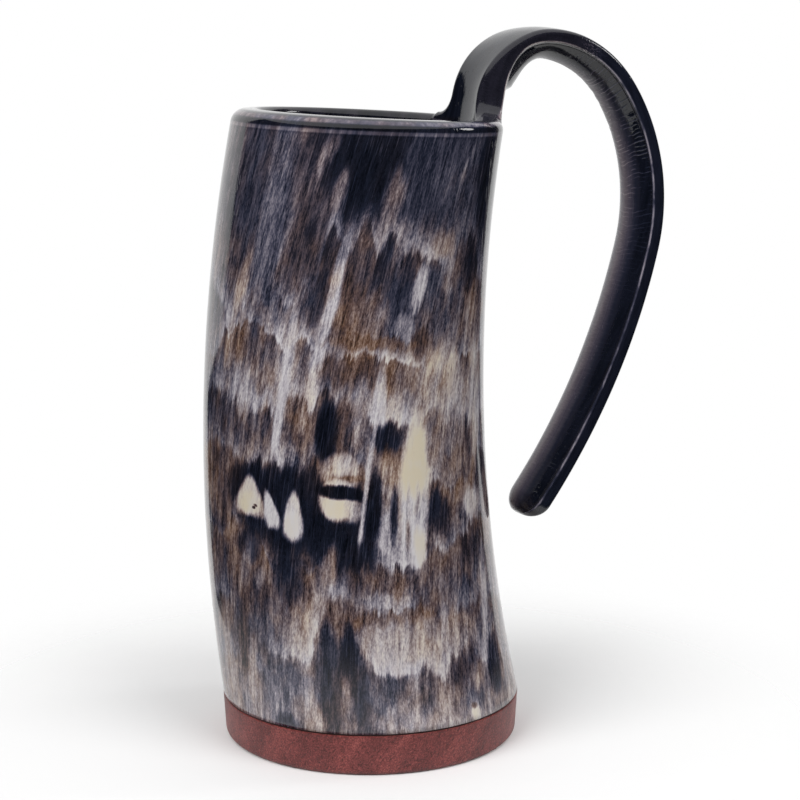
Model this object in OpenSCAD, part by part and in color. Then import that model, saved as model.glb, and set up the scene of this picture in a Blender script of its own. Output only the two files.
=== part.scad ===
// Horn drinking mug. The wide end of a cow's horn stands on a turned wooden base.
// The narrow end is cut to a tongue that is bent over and down, and is the handle.
// Origin: the middle of the base's underside. +Z is up and +X points to the handle.

/* [Cup] */
// Height of the rim above the table, over the middle of the cup
cup_height = 160; // [140:1:180]
// Outside diameter of the horn where it stands on the base
foot_diameter = 77; // [72:0.5:80]
// Outside diameter of the horn half way up
waist_diameter = 71.5; // [70:0.5:76]
// Outside diameter of the horn at the rim
rim_diameter = 68; // [66:0.5:74]
// How far the middle of the horn bows away from the handle
bow = 7.4; // [0:0.2:10]
// Slope of the rim, down towards the handle, in degrees
rim_slope = 2.8; // [0:0.1:5]

/* [Horn wall] */
// Wall at the foot
foot_wall = 5; // [4.5:0.1:6]
// Wall at the rim
rim_wall = 7; // [6:0.1:8]
// Rounding of the rim's outer edge
rim_outer_round = 3; // [1:0.1:3.5]
// Rounding of the rim's inner edge
rim_inner_round = 2; // [1:0.1:2.4]

/* [Tongue and handle] */
// Width of the tongue where it has left the rim
tongue_width = 19; // [16:0.5:21]
// Radius of the two notch corners between the rim and the tongue
notch_radius = 5; // [3:0.5:6]
// Width of the handle over its crest
crest_width = 15.5; // [13:0.5:17]
// Width of the handle in the grip
grip_width = 16; // [13:0.5:18]
// Width of the handle at its end
tip_width = 15; // [12:0.5:17]
// Thickness of the handle over its crest, in the middle of its width
crest_thickness = 8.5; // [7.5:0.1:10]
// Thickness of the handle in the grip
grip_thickness = 8.8; // [7.5:0.1:10]
// Thickness of the handle at its end
tip_thickness = 8.7; // [7.5:0.1:10]
// How much the side that faces the cup swells across its width
grip_crown = 4; // [3:0.1:4.4]
// How much the side that faces away swells across its width
back_crown = 0.4; // [0:0.1:0.8]
// How much the tongue swells out under the crest, on the side that faces the cup
root_swell = 3.8; // [0:0.2:4]
// Rounding of the edges that face the cup
grip_round = 0.8; // [0.4:0.1:1.2]
// Rounding of the edges that face away
back_round = 1.6; // [0.8:0.1:2]
// Length over which the end is rounded off
tip_round = 5.5; // [2:0.5:6]

/* [Bends of the handle] */
// Lean of the tongue at the rim, from upright, in degrees
tongue_lean = 11.5; // [8:0.5:15]
// Straight stretch of the tongue above the notch
tongue_rise = 0.5; // [0.5:0.5:3]
// Radius of the tight bend from the rim up to the crest
crest_radius = 16.5; // [14:0.5:19]
// Turn of the tight bend
crest_turn = 81; // [74:1:86]
// Radius of the bend on the way down
bend_radius = 30; // [26:0.5:34]
// Turn of the bend on the way down
bend_turn = 52; // [46:1:56]
// Radius of the curve in the grip
grip_radius = 51; // [46:1:56]
// Turn of the curve in the grip
grip_turn = 50; // [44:1:52]
// Radius of the nearly straight tail
tail_radius = 180; // [150:1:200]
// Turn of the tail
tail_turn = 25; // [20:0.5:26]

/* [Base] */
// Thickness of the wooden plate under the horn
base_thickness = 10.5; // [8:0.5:14]
// How much narrower the plate is at the table than at the horn, on its diameter
base_taper = 1.2; // [0:0.1:4]
// Rounding of the plate's lower edge
base_round = 1.6; // [0.5:0.1:3]
// Height of the plug that stands on the plate, inside the horn
plug_height = 8; // [6:0.5:12]
// Bevel on the plug's upper edge
plug_bevel = 0.8; // [0.3:0.1:1.5]

/* [Glue and sealing] */
// Thickness of the glue between the base and the horn
glue_gap = 0.4; // [0.2:0.05:0.6]
// How far the glue stays back from the outside
glue_recess = 0.3; // [0.1:0.05:0.6]
// Thickness of the clear resin that seals the floor
seal_thickness = 1.5; // [1:0.1:3]
// Radius of the resin's hollow corner against the wall
seal_fillet = 2.5; // [1:0.1:4]
// Thickness of the lacquer on the inside of the wall
lacquer_thickness = 0.3; // [0.2:0.05:0.5]

/* [Hidden] */
$fn = 96;

// Colours of the pieces
horn_colour = [0.20, 0.17, 0.18];
wood_colour = [0.48, 0.26, 0.22];
glue_colour = [0.16, 0.10, 0.09];
resin_colour = [0.62, 0.50, 0.36];
lacquer_colour = [0.12, 0.10, 0.10];

// Room that keeps a round piece inside the many-sided bore
facet_room = 0.06;

// Sides of the horn's rings: across the tongue, and all round
tongue_sides = 12;
ring_sides = 64;
// Rings up the outside and down the bore
outer_rings = 20;
bore_rings = 14;
// Steps in each rounded edge of the horn and in the notch
edge_steps = 3;
notch_steps = 5;
// Degrees in one step of the base's and the seal's rounded profiles
arc_step = 15;
// Longest step along the handle, and the widest turn in one step
path_step = 5;
path_turn = 9;
// Length of the handle over which its section changes from the cup's wall to the grip
blend_length = 18;
// Length over which the tongue's swelling rises, where it starts to go and the length over which it goes
swell_rise = 7;
swell_end = 14;
swell_fall = 18;
// Share of its size that the handle's last section keeps
tip_share = 0.25;
// Where along the handle the crest and the grip lie, as shares of its length
crest_share = 0.25;
grip_share = 0.6;

// The horn's foot and the reamed seat for the plug
foot_z = base_thickness + glue_gap;
horn_height = cup_height - foot_z;
plug_top = base_thickness + plug_height;
seat_top = plug_top + seal_thickness + seal_fillet;
function share_at(z) = (z - foot_z) / horn_height;
seat_x = axis_x(share_at(plug_top));
seat_radius = bore_radius(share_at(seat_top));
plug_radius = seat_radius - facet_room - glue_gap;

// Basic blends
function mix(a, b, t) = a + (b - a) * t;
function clamp(t) = min(1, max(0, t));
function ease(t) = clamp(t) * clamp(t) * (3 - 2 * clamp(t));
function through(a, m, b, s) = a * (1 - s) * (1 - 2 * s) + 4 * m * s * (1 - s) + b * s * (2 * s - 1);
function sagitta(r, half_chord) = r - sqrt(r * r - half_chord * half_chord);

// The cup: s runs from 0 at the horn's foot to 1 at the rim
function axis_x(s) = -4 * bow * s * (1 - s);
function outer_radius(s) = through(foot_diameter, waist_diameter, rim_diameter, s) / 2;
function wall(s) = mix(foot_wall, rim_wall, s);
function bore_radius(s) = outer_radius(s) - wall(s);
function rim_z(angle) = cup_height - tan(rim_slope) * outer_radius(1) * cos(angle);
function wall_point(s, depth, angle) =
    let (r = outer_radius(s) - depth)
    [axis_x(s) + r * cos(angle), r * sin(angle), foot_z + s * (rim_z(angle) - foot_z)];

// A rounded edge as pairs of distance below the edge and depth from the outer side
function edge_profile(outer_round, inner_round, thickness) = [
    for (i = [1 : edge_steps])
        let (a = 90 * i / edge_steps)
        [outer_round * (1 - sin(a)), outer_round * (1 - cos(a))],
    for (i = [0 : edge_steps - 1])
        let (a = 90 * i / edge_steps)
        [inner_round * (1 - cos(a)), thickness - inner_round + inner_round * sin(a)]
];

// Directions of the ring's corners: first those across the tongue, then the rest
tongue_angle = asin((tongue_width / 2 + notch_radius) / outer_radius(1));
ring_angles = [
    for (i = [0 : tongue_sides])
        mix(-tongue_angle, tongue_angle, i / tongue_sides),
    for (i = [1 : ring_sides - tongue_sides - 1])
        mix(tongue_angle, 360 - tongue_angle, i / (ring_sides - tongue_sides))
];

// The cup's rings, from the foot up the outside, over the rim and down the bore to the foot
rim_start = 1 - rim_outer_round / horn_height;
rim_end = 1 - rim_inner_round / horn_height;
seat_blend = share_at(seat_top + seal_fillet);
outer_ring_list = [
    for (k = [0 : outer_rings - 1])
        [for (a = ring_angles) wall_point(rim_start * k / (outer_rings - 1), 0, a)]
];
rim_ring_list = [
    for (p = edge_profile(rim_outer_round, rim_inner_round, rim_wall))
        [for (a = ring_angles) wall_point(1 - p[0] / horn_height, p[1], a)]
];
function bore_ring(s, inset) = [for (a = ring_angles) wall_point(s, wall(s) + inset, a)];
function bore_share(k) = mix(rim_end, seat_blend, k / (bore_rings - 1));
bore_ring_list = [for (k = [0 : bore_rings - 1]) bore_ring(bore_share(k), 0)];
function seat_ring(r, z) = [for (a = ring_angles) [seat_x + r * cos(a), r * sin(a), z]];
cup_rings = concat(
    outer_ring_list,
    rim_ring_list,
    bore_ring_list,
    [seat_ring(seat_radius, seat_top), seat_ring(seat_radius, foot_z)]
);

// The handle's middle line in the XZ plane: x, z, lean from upright and length so far
bends = [
    [crest_radius, crest_turn],
    [bend_radius, bend_turn],
    [grip_radius, grip_turn],
    [tail_radius, tail_turn]
];
function arc_length(bend) = bend[0] * bend[1] * PI / 180;
function ahead(at, length) =
    [at[0] + length * sin(at[2]), at[1] + length * cos(at[2]), at[2], at[3] + length];
function round_bend(at, bend, t) =
    let (turn = bend[1] * t, chord = 2 * bend[0] * sin(turn / 2), way = at[2] + turn / 2)
    [at[0] + chord * sin(way), at[1] + chord * cos(way), at[2] + turn, at[3] + arc_length(bend) * t];
function bend_steps(bend) = ceil(max(2, arc_length(bend) / path_step, bend[1] / path_turn));
function follow(at, i) =
    i == len(bends) ? [] :
    let (n = bend_steps(bends[i]))
    concat(
        [for (k = [1 : n]) round_bend(at, bends[i], k / n)],
        follow(round_bend(at, bends[i], 1), i + 1)
    );
root = [axis_x(1) + outer_radius(1) - rim_wall / 2, rim_z(0), tongue_lean, 0];
tongue_end = ahead(root, notch_radius + tongue_rise);
bend_points = follow(tongue_end, 0);
handle_length = bend_points[len(bend_points) - 1][3];
// Points that follow the tip's rounding closely
tip_shares = [0.85, 0.6, 0.35, 0.15, 0.05];

// A section across the handle. Its loop has the corners of the hole that it leaves in the rim.
function across(t) = sin(t * tongue_angle) / sin(tongue_angle);
function swell(t) = (cos(t * tongue_angle) - cos(tongue_angle)) / (1 - cos(tongue_angle));
function place(at, side, up, out) = [
    at[0] + up * sin(at[2]) - out * cos(at[2]),
    side,
    at[1] + up * cos(at[2]) + out * sin(at[2])
];
// half: half width, lift and tilt: the edge's rise and its direction in the notch, size: thickness,
// drop: fall of the two faces to their edges, rounds: edge roundings, splay: inner width / outer width
function section(at, half, lift, tilt, size, drop, rounds, splay) =
    let (
        face = -size / 2 + drop[0],
        back = size / 2 - drop[1],
        depth = back - face,
        profile = edge_profile(rounds[0], rounds[1], depth),
        last = len(profile) - 1
    )
    concat(
        [for (i = [0 : tongue_sides])
            let (t = 2 * i / tongue_sides - 1)
            place(at, (half - rounds[0] * sin(tilt)) * across(t),
                lift - rounds[0] * cos(tilt), -size / 2 + drop[0] * (1 - swell(t)))],
        [for (i = [0 : last])
            let (p = profile[i])
            place(at, (half - p[0] * sin(tilt)) * mix(1, splay, p[1] / depth),
                lift - p[0] * cos(tilt), face + p[1])],
        [for (i = [0 : tongue_sides])
            let (t = 1 - 2 * i / tongue_sides)
            place(at, (half - rounds[1] * sin(tilt)) * splay * across(t),
                lift - rounds[1] * cos(tilt), size / 2 - drop[1] * (1 - swell(t)))],
        [for (i = [0 : last])
            let (p = profile[last - i])
            place(at, -(half - p[0] * sin(tilt)) * mix(1, splay, p[1] / depth),
                lift - p[0] * cos(tilt), face + p[1])]
    );

// Sections in the notch keep the curve of the cup's wall
rim_rounds = [rim_outer_round, rim_inner_round];
handle_rounds = [grip_round, back_round];
rim_splay = (outer_radius(1) - rim_wall) / outer_radius(1);
function wall_drop(half_face, half_back) =
    [sagitta(outer_radius(1), half_face), -sagitta(bore_radius(1), half_back * rim_splay)];
function notch_section(tilt) =
    let (
        half = tongue_width / 2 + notch_radius * (1 - sin(tilt)),
        rounds = mix(rim_rounds, handle_rounds, ease(tilt / 90)),
        drop = wall_drop(half - rounds[0] * sin(tilt), half - rounds[1] * sin(tilt))
    )
    section(root, half, notch_radius * (1 - cos(tilt)), tilt, rim_wall, drop, rounds, rim_splay);

// Sections along the bends change from the wall's curve to the grip's
function along(values, q) =
    q < crest_share ? mix(values[0], values[1], ease(q / crest_share)) :
    q < grip_share ? mix(values[1], values[2], ease((q - crest_share) / (grip_share - crest_share))) :
    mix(values[2], values[3], ease((q - grip_share) / (1 - grip_share)));
function tip_size(rest) =
    rest >= tip_round ? 1 : mix(tip_share, 1, sqrt(1 - pow(1 - rest / tip_round, 2)));
function swelling(far) =
    root_swell * ease((far - notch_radius) / swell_rise) * (1 - ease((far - swell_end) / swell_fall));
function pushed_out(at, by) = [at[0] + by * cos(at[2]), at[1] - by * sin(at[2]), at[2], at[3]];
function handle_section(at) =
    let (
        more = swelling(at[3]),
        q = at[3] / handle_length,
        m = ease((at[3] - notch_radius) / blend_length),
        f = tip_size(handle_length - at[3]),
        half = along([tongue_width, crest_width, grip_width, tip_width], q) / 2,
        size = along([rim_wall, crest_thickness, grip_thickness, tip_thickness], q),
        drop = mix(wall_drop(half - grip_round, half - back_round), [grip_crown, back_crown], m)
    )
    section(pushed_out(at, more / 2), half * f, 0, 90, (size + more) * f, (drop + [more, 0]) * f,
        handle_rounds * f, mix(rim_splay, 1, m));

tail = bends[len(bends) - 1];
before_tail = bend_points[len(bend_points) - 1 - bend_steps(tail)];
tip_points = [
    for (share = tip_shares)
        round_bend(before_tail, tail, 1 - share * tip_round / arc_length(tail))
];
handle_points = [
    tongue_end,
    for (p = bend_points)
        if (p[3] < handle_length - tip_round)
            p,
    for (p = tip_points)
        p,
    bend_points[len(bend_points) - 1]
];
handle_sections = concat(
    [for (i = [1 : notch_steps]) notch_section(90 * i / notch_steps)],
    [for (p = handle_points) handle_section(p)]
);

// The loop of cup corners round the hole that the tongue leaves in the rim
rim_first = outer_rings - 1;
rim_last = outer_rings + 2 * edge_steps;
function corner(ring, i) = ring * ring_sides + i % ring_sides;
root_loop = concat(
    [for (i = [0 : tongue_sides]) corner(rim_first, i)],
    [for (k = [rim_first + 1 : rim_last - 1]) corner(k, tongue_sides)],
    [for (i = [0 : tongue_sides]) corner(rim_last, tongue_sides - i)],
    [for (k = [1 : rim_last - rim_first - 1]) corner(rim_last - k, 0)]
);
loop_size = len(root_loop);
cup_corners = len(cup_rings) * ring_sides;
handle_loops = concat(
    [root_loop],
    [for (j = [0 : len(handle_sections) - 1])
        [for (i = [0 : loop_size - 1]) cup_corners + j * loop_size + i]]
);
tip_loop = handle_loops[len(handle_loops) - 1];

// Two triangles for each four-cornered patch between two neighbouring loops
function patch(a, b, c, d) = [[a, c, b], [a, d, c]];
function in_hole(k, i) = k >= rim_first && k < rim_last && i < tongue_sides;
cup_faces = [
    for (k = [0 : len(cup_rings) - 1], i = [0 : ring_sides - 1])
        if (!in_hole(k, i))
            let (next = (k + 1) % len(cup_rings))
            each patch(corner(k, i), corner(k, i + 1), corner(next, i + 1), corner(next, i))
];
handle_faces = [
    for (j = [0 : len(handle_loops) - 2], i = [0 : loop_size - 1])
        let (n = (i + 1) % loop_size, low = handle_loops[j], high = handle_loops[j + 1])
        each patch(low[i], low[n], high[n], high[i])
];
tip_face = [[for (i = [loop_size - 1 : -1 : 0]) tip_loop[i]]];

function flat(lists) = [for (l = lists) each l];

// One piece of horn: the cup's wall, open at both ends, and the handle bent from its tip
module horn_body() {
    color(horn_colour)
        polyhedron(
            points = concat(flat(cup_rings), flat(handle_sections)),
            faces = concat(cup_faces, handle_faces, tip_face)
        );
}

// Turned plate with a plug that fills the horn's lower end
module wood_base() {
    top = foot_diameter / 2;
    low = top - base_taper / 2;
    color(wood_colour) {
        rotate_extrude()
            polygon(concat(
                [[0, 0]],
                [for (a = [0 : arc_step : 90]) [low - base_round * (1 - sin(a)), base_round * (1 - cos(a))]],
                [[top, base_thickness], [0, base_thickness]]
            ));
        translate([seat_x, 0, base_thickness])
            cylinder(r = plug_radius, h = plug_height - plug_bevel);
        translate([seat_x, 0, plug_top - plug_bevel])
            cylinder(r1 = plug_radius, r2 = plug_radius - plug_bevel, h = plug_bevel);
    }
}

// Film of glue between plate and horn, and between plug and bore
module base_glue() {
    color(glue_colour)
        difference() {
            union() {
                translate([0, 0, base_thickness])
                    cylinder(r = foot_diameter / 2 - glue_recess, h = glue_gap);
                translate([seat_x, 0, base_thickness])
                    cylinder(r = seat_radius - facet_room, h = plug_height - plug_bevel);
            }
            translate([seat_x, 0, 0])
                cylinder(r = plug_radius, h = cup_height);
        }
}

// Clear resin poured over the plug, with a hollow corner that runs up the wall
module floor_seal() {
    rim = seat_radius - facet_room;
    color(resin_colour)
        translate([seat_x, 0, plug_top])
            rotate_extrude()
                polygon(concat(
                    [[0, 0], [rim, 0], [rim, seal_thickness + seal_fillet]],
                    [for (a = [0 : arc_step : 90])
                        [rim - lacquer_thickness - seal_fillet * (1 - cos(a)),
                            seal_thickness + seal_fillet * (1 - sin(a))]],
                    [[0, seal_thickness]]
                ));
}

// Thin coat on the bore, from the top of the floor seal up to the rim's inner edge
module inner_lacquer() {
    back = facet_room;
    front = facet_room + lacquer_thickness;
    rings = concat(
        [for (k = [0 : bore_rings - 1]) bore_ring(bore_share(k), back)],
        [seat_ring(seat_radius - back, seat_top), seat_ring(seat_radius - front, seat_top)],
        [for (k = [bore_rings - 1 : -1 : 0]) bore_ring(bore_share(k), front)]
    );
    color(lacquer_colour)
        polyhedron(
            points = flat(rings),
            faces = [
                for (k = [0 : len(rings) - 1], i = [0 : ring_sides - 1])
                    let (next = (k + 1) % len(rings))
                    each patch(corner(k, i), corner(k, i + 1), corner(next, i + 1), corner(next, i))
            ]
        );
}

horn_body();
wood_base();
base_glue();
floor_seal();
inner_lacquer();
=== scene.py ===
# %% [markdown]
# # A horn drinking mug
# The mug is one cow's horn, stood on its wide end on a turned wooden base. The tip of the horn is sawn
# down to a tongue, heated, and bent over and down as the handle. This lesson dresses the measured solids
# of that mug: it builds finer meshes in the same frame, gives each piece its finish, and sets up a
# camera and soft light. The solids come in first, because every piece has to sit where they sit.

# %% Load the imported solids
import math

import bpy
import numpy as np
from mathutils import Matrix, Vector


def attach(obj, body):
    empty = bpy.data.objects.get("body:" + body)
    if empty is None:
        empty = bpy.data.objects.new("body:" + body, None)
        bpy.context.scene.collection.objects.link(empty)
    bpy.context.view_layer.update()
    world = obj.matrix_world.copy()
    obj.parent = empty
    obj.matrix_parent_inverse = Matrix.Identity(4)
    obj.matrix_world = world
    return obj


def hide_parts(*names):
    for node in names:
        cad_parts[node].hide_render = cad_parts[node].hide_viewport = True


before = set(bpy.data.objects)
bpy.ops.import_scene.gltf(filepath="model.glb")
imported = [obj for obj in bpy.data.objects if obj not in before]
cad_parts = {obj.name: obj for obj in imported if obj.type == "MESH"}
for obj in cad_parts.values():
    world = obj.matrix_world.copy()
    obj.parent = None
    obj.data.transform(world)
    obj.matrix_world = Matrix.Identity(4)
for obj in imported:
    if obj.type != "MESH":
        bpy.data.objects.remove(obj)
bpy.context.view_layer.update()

MM = 0.001

# %% [markdown]
# ## The camera
# The mug was seen from a little above its rim, from the left of the handle. A long lens keeps the cup's
# two sides nearly parallel. The place and the lens were worked out from the outline of cup and base, so
# they are typed in.

# %% Camera
CAMERA_PLACE = Vector((-0.2452, -0.4811, 0.1930))
CAMERA_AIM = Vector((0.0069, -0.0035, 0.0871))
SENSOR_WIDTH, FOCAL_LENGTH = 36.0, 96.7

lens = bpy.data.cameras.new("long_lens")
lens.sensor_width, lens.lens = SENSOR_WIDTH, FOCAL_LENGTH
camera = bpy.data.objects.new("long_lens", lens)
camera.location = CAMERA_PLACE
camera.rotation_euler = (CAMERA_AIM - CAMERA_PLACE).to_track_quat("-Z", "Y").to_euler()
bpy.context.scene.collection.objects.link(camera)
bpy.context.scene.camera = camera
print("camera", round((CAMERA_AIM - CAMERA_PLACE).length, 3), "m from its aim")

# %% [markdown]
# ## The sizes of the horn
# A horn grows as a cone that bends. The cup keeps three diameters, a sideways bow and a wall that
# thickens towards the tip. The tongue follows four bends one after another, like a strip of steamed
# wood. The same rules shaped the solid, and here they run again with many more steps, so that the
# polished surface has no facets. Lengths are in millimetres until the mesh is made.

# %% Rules of the cup
cup_height, foot_diameter, waist_diameter, rim_diameter = 160.0, 77.0, 71.5, 68.0
bow, rim_slope = 7.4, math.radians(2.8)
foot_wall, rim_wall = 5.0, 7.0
rim_outer_round, rim_inner_round = 3.0, 2.0
base_thickness, glue_gap = 10.5, 0.4
foot_z = base_thickness + glue_gap
horn_height = cup_height - foot_z


def mix(a, b, t):
    return a + (b - a) * t


def ease(t):
    t = np.clip(t, 0.0, 1.0)
    return t * t * (3 - 2 * t)


def through(a, m, b, s):
    return a * (1 - s) * (1 - 2 * s) + 4 * m * s * (1 - s) + b * s * (2 * s - 1)


def axis_x(s):
    return -4 * bow * s * (1 - s)


def outer_radius(s):
    return through(foot_diameter, waist_diameter, rim_diameter, s) / 2


def wall(s):
    return mix(foot_wall, rim_wall, s)


def rim_z(angle):
    return cup_height - math.tan(rim_slope) * outer_radius(1) * np.cos(angle)


def wall_point(s, depth, angle):
    r = outer_radius(s) - depth
    z = foot_z + s * (rim_z(angle) - foot_z)
    return np.stack([axis_x(s) + r * np.cos(angle), r * np.sin(angle), z], -1)


def share_at(z):
    return (z - foot_z) / horn_height


print("horn", round(horn_height, 1), "mm tall, bore at the rim", 2 * (outer_radius(1) - rim_wall), "mm wide")

# %% [markdown]
# ## One skin for cup and handle
# The handle is not glued on: the tongue's outer face runs on from the cup's outer wall. So the mesh is
# one skin. Rings go up the outside, over the rounded rim and down the bore, and a gap is left in the
# rim where the tongue rises. Loops with exactly the gap's corners then climb the notch and follow the
# bends to the tip. A Boolean union would leave a ragged seam just where light plays most.

# %% Rings of the cup
ring_sides, tongue_sides = 216, 40
outer_rings, bore_rings, edge_steps = 96, 36, 8
tongue_width, notch_radius = 19.0, 5.0
seat_top, seat_fillet, plug_top = 22.5, 2.5, 18.5
seat_x = axis_x(share_at(plug_top))
seat_radius = outer_radius(share_at(seat_top)) - wall(share_at(seat_top))
tongue_angle = math.asin((tongue_width / 2 + notch_radius) / outer_radius(1))


def edge_profile(outer_round, inner_round, thickness):
    """Pairs of distance below the edge and depth from the outer side, round a rounded edge."""
    up = np.radians(90 * np.arange(1, edge_steps + 1) / edge_steps)
    down = np.radians(90 * np.arange(edge_steps) / edge_steps)
    first = np.stack([outer_round * (1 - np.sin(up)), outer_round * (1 - np.cos(up))], -1)
    last = np.stack([inner_round * (1 - np.cos(down)), thickness - inner_round * (1 - np.sin(down))], -1)
    return np.concatenate([first, last])


ring_angles = np.concatenate([
    np.linspace(-tongue_angle, tongue_angle, tongue_sides + 1),
    np.linspace(tongue_angle, 2 * math.pi - tongue_angle, ring_sides - tongue_sides + 1)[1:-1],
])
rim_edge = edge_profile(rim_outer_round, rim_inner_round, rim_wall)
ring_rows = [(s, 0.0) for s in np.linspace(0, 1 - rim_outer_round / horn_height, outer_rings)]
ring_rows += [(1 - drop / horn_height, depth) for drop, depth in rim_edge]
bore_shares = np.linspace(1 - rim_inner_round / horn_height, share_at(seat_top + seat_fillet), bore_rings)
ring_rows += [(s, wall(s)) for s in bore_shares]
rings = [wall_point(s, depth, ring_angles) for s, depth in ring_rows]
seat_round = seat_x + seat_radius * np.cos(ring_angles), seat_radius * np.sin(ring_angles)
for z in (seat_top, foot_z):
    rings.append(np.stack([*seat_round, 0 * ring_angles + z], -1))
    ring_rows.append((share_at(z), outer_radius(share_at(z)) - seat_radius))
print(len(rings), "rings of", ring_sides, "corners")

# %% [markdown]
# ## The bends of the handle
# Each bend has a radius and a turn. Walking along them gives the middle line: a place, a lean from
# upright and the length so far. Sections stand square to that line. They start as a slice of the cup's
# curved wall and change, over 18 mm, into a D: nearly flat behind and swelling towards the cup.

# %% Middle line of the handle
tongue_lean, tongue_rise = math.radians(11.5), 0.5
bends = [(16.5, 81.0), (30.0, 52.0), (51.0, 50.0), (180.0, 25.0)]
handle_step, tip_round, tip_share = 1.0, 5.5, 0.16


def ahead(at, length):
    x, z, lean, gone = at
    return x + length * math.sin(lean), z + length * math.cos(lean), lean, gone + length


def round_bend(at, radius, turn):
    x, z, lean, gone = at
    chord, way = 2 * radius * math.sin(turn / 2), lean + turn / 2
    return x + chord * math.sin(way), z + chord * math.cos(way), lean + turn, gone + radius * turn


root = (axis_x(1) + outer_radius(1) - rim_wall / 2, rim_z(0.0), tongue_lean, 0.0)
handle_line = [ahead(root, notch_radius + tongue_rise)]
for radius, degrees in bends:
    start, turn = handle_line[-1], math.radians(degrees)
    steps = math.ceil(radius * turn / handle_step)
    handle_line += [round_bend(start, radius, turn * (k + 1) / steps) for k in range(steps)]
    last_bend = (start, radius, turn)
handle_length = handle_line[-1][3]
start, radius, turn = last_bend
handle_line = [p for p in handle_line if p[3] < handle_length - tip_round]
for rest in tip_round * (1 - np.sin(np.linspace(0, math.pi / 2, 12))):
    handle_line.append(round_bend(start, radius, turn - rest / radius))
print("handle", round(handle_length, 1), "mm along its middle,", len(handle_line), "sections")

# %% [markdown]
# ## Sections of the handle
# A section is a loop of corners: across the face, round one rounded edge, back across the other face
# and round the other edge. In the notch the loop tilts from lying in the rim to standing in the tongue.
# Each corner also remembers where it lies in the grown horn: its direction, its depth under the
# horn's skin and its height along the fibres. The pattern will be painted in those terms.

# %% Loops of the handle
handle_widths = (tongue_width, 15.5, 16.0, 15.0)
handle_thicknesses = (rim_wall, 8.5, 8.8, 8.7)
width_marks = (0.0, 0.25, 0.6, 1.0)
grip_crown, back_crown, grip_round, back_round = 4.0, 0.4, 0.8, 1.6
blend_length, notch_steps = 18.0, 14
root_swell, swell_rise, swell_end, swell_fall = 3.8, 7.0, 14.0, 18.0
bore_radius = outer_radius(1) - rim_wall
rim_splay = bore_radius / outer_radius(1)
face_t = np.linspace(-1, 1, tongue_sides + 1)
across = np.sin(face_t * tongue_angle) / math.sin(tongue_angle)
swell = (np.cos(face_t * tongue_angle) - math.cos(tongue_angle)) / (1 - math.cos(tongue_angle))


def along(values, q):
    k = min(int(np.searchsorted(width_marks, q, side="right")) - 1, 2)
    share = (q - width_marks[k]) / (width_marks[k + 1] - width_marks[k])
    return mix(values[k], values[k + 1], ease(share))


def sagitta(r, half_chord):
    return r - math.sqrt(r * r - half_chord * half_chord)


def wall_drop(half_face, half_back):
    return np.array([sagitta(outer_radius(1), half_face), -sagitta(bore_radius, half_back * rim_splay)])


def loop_of(at, half, lift, tilt, size, drop, rounds, splay):
    """Corners of one section, and what each remembers: direction, depth, whether it is on a cut side,
    on the back or on a worn corner that also carries a painted highlight, and how far it is from the middle of
    its face."""
    x, z, lean, _ = at
    face, back = -size / 2 + drop[0], size / 2 - drop[1]
    depth, rise, reach = back - face, math.cos(tilt), math.sin(tilt)
    inset, deep = edge_profile(rounds[0], rounds[1], depth).T
    one, none = np.ones(len(deep)), 0 * across
    # Weights of the pale line along each edge corner, partly wear and partly a painted highlight.
    wear_and_glint_weights = np.sin(math.pi * (np.arange(edge_steps) + 0.5) / edge_steps)
    wear_and_glint_weights = np.concatenate([wear_and_glint_weights, 0 * wear_and_glint_weights])
    side, edge_lift = (half - inset * reach) * mix(1, splay, deep / depth), lift - inset * rise
    parts = [
        ((half - rounds[0] * reach) * across, lift - rounds[0] * rise + none,
         -size / 2 + drop[0] * (1 - swell), face_t, none, none, none, none),
        (side, edge_lift, face + deep, one, deep, one, 0 * one, wear_and_glint_weights),
        ((half - rounds[1] * reach) * splay * across[::-1], lift - rounds[1] * rise + none,
         size / 2 - drop[1] * (1 - swell[::-1]), face_t[::-1], none + depth, none, none + 1, none),
        (-side[::-1], edge_lift[::-1], (face + deep)[::-1], -one, deep[::-1], one, 0 * one, wear_and_glint_weights[::-1]),
    ]
    y, up, out, t, deep, cut, rear, wear_and_glint = (np.concatenate(column) for column in zip(*parts))
    corners = np.stack([x + up * math.sin(lean) - out * math.cos(lean), y,
                        z + up * math.cos(lean) + out * math.sin(lean)], -1)
    direction = t * tongue_angle * half / (tongue_width / 2 + notch_radius)
    return corners, np.stack([direction, deep, cut, rear, wear_and_glint, np.abs(t)], -1)


print("handle", handle_widths, "mm wide and", handle_thicknesses, "mm thick along its way")


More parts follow.
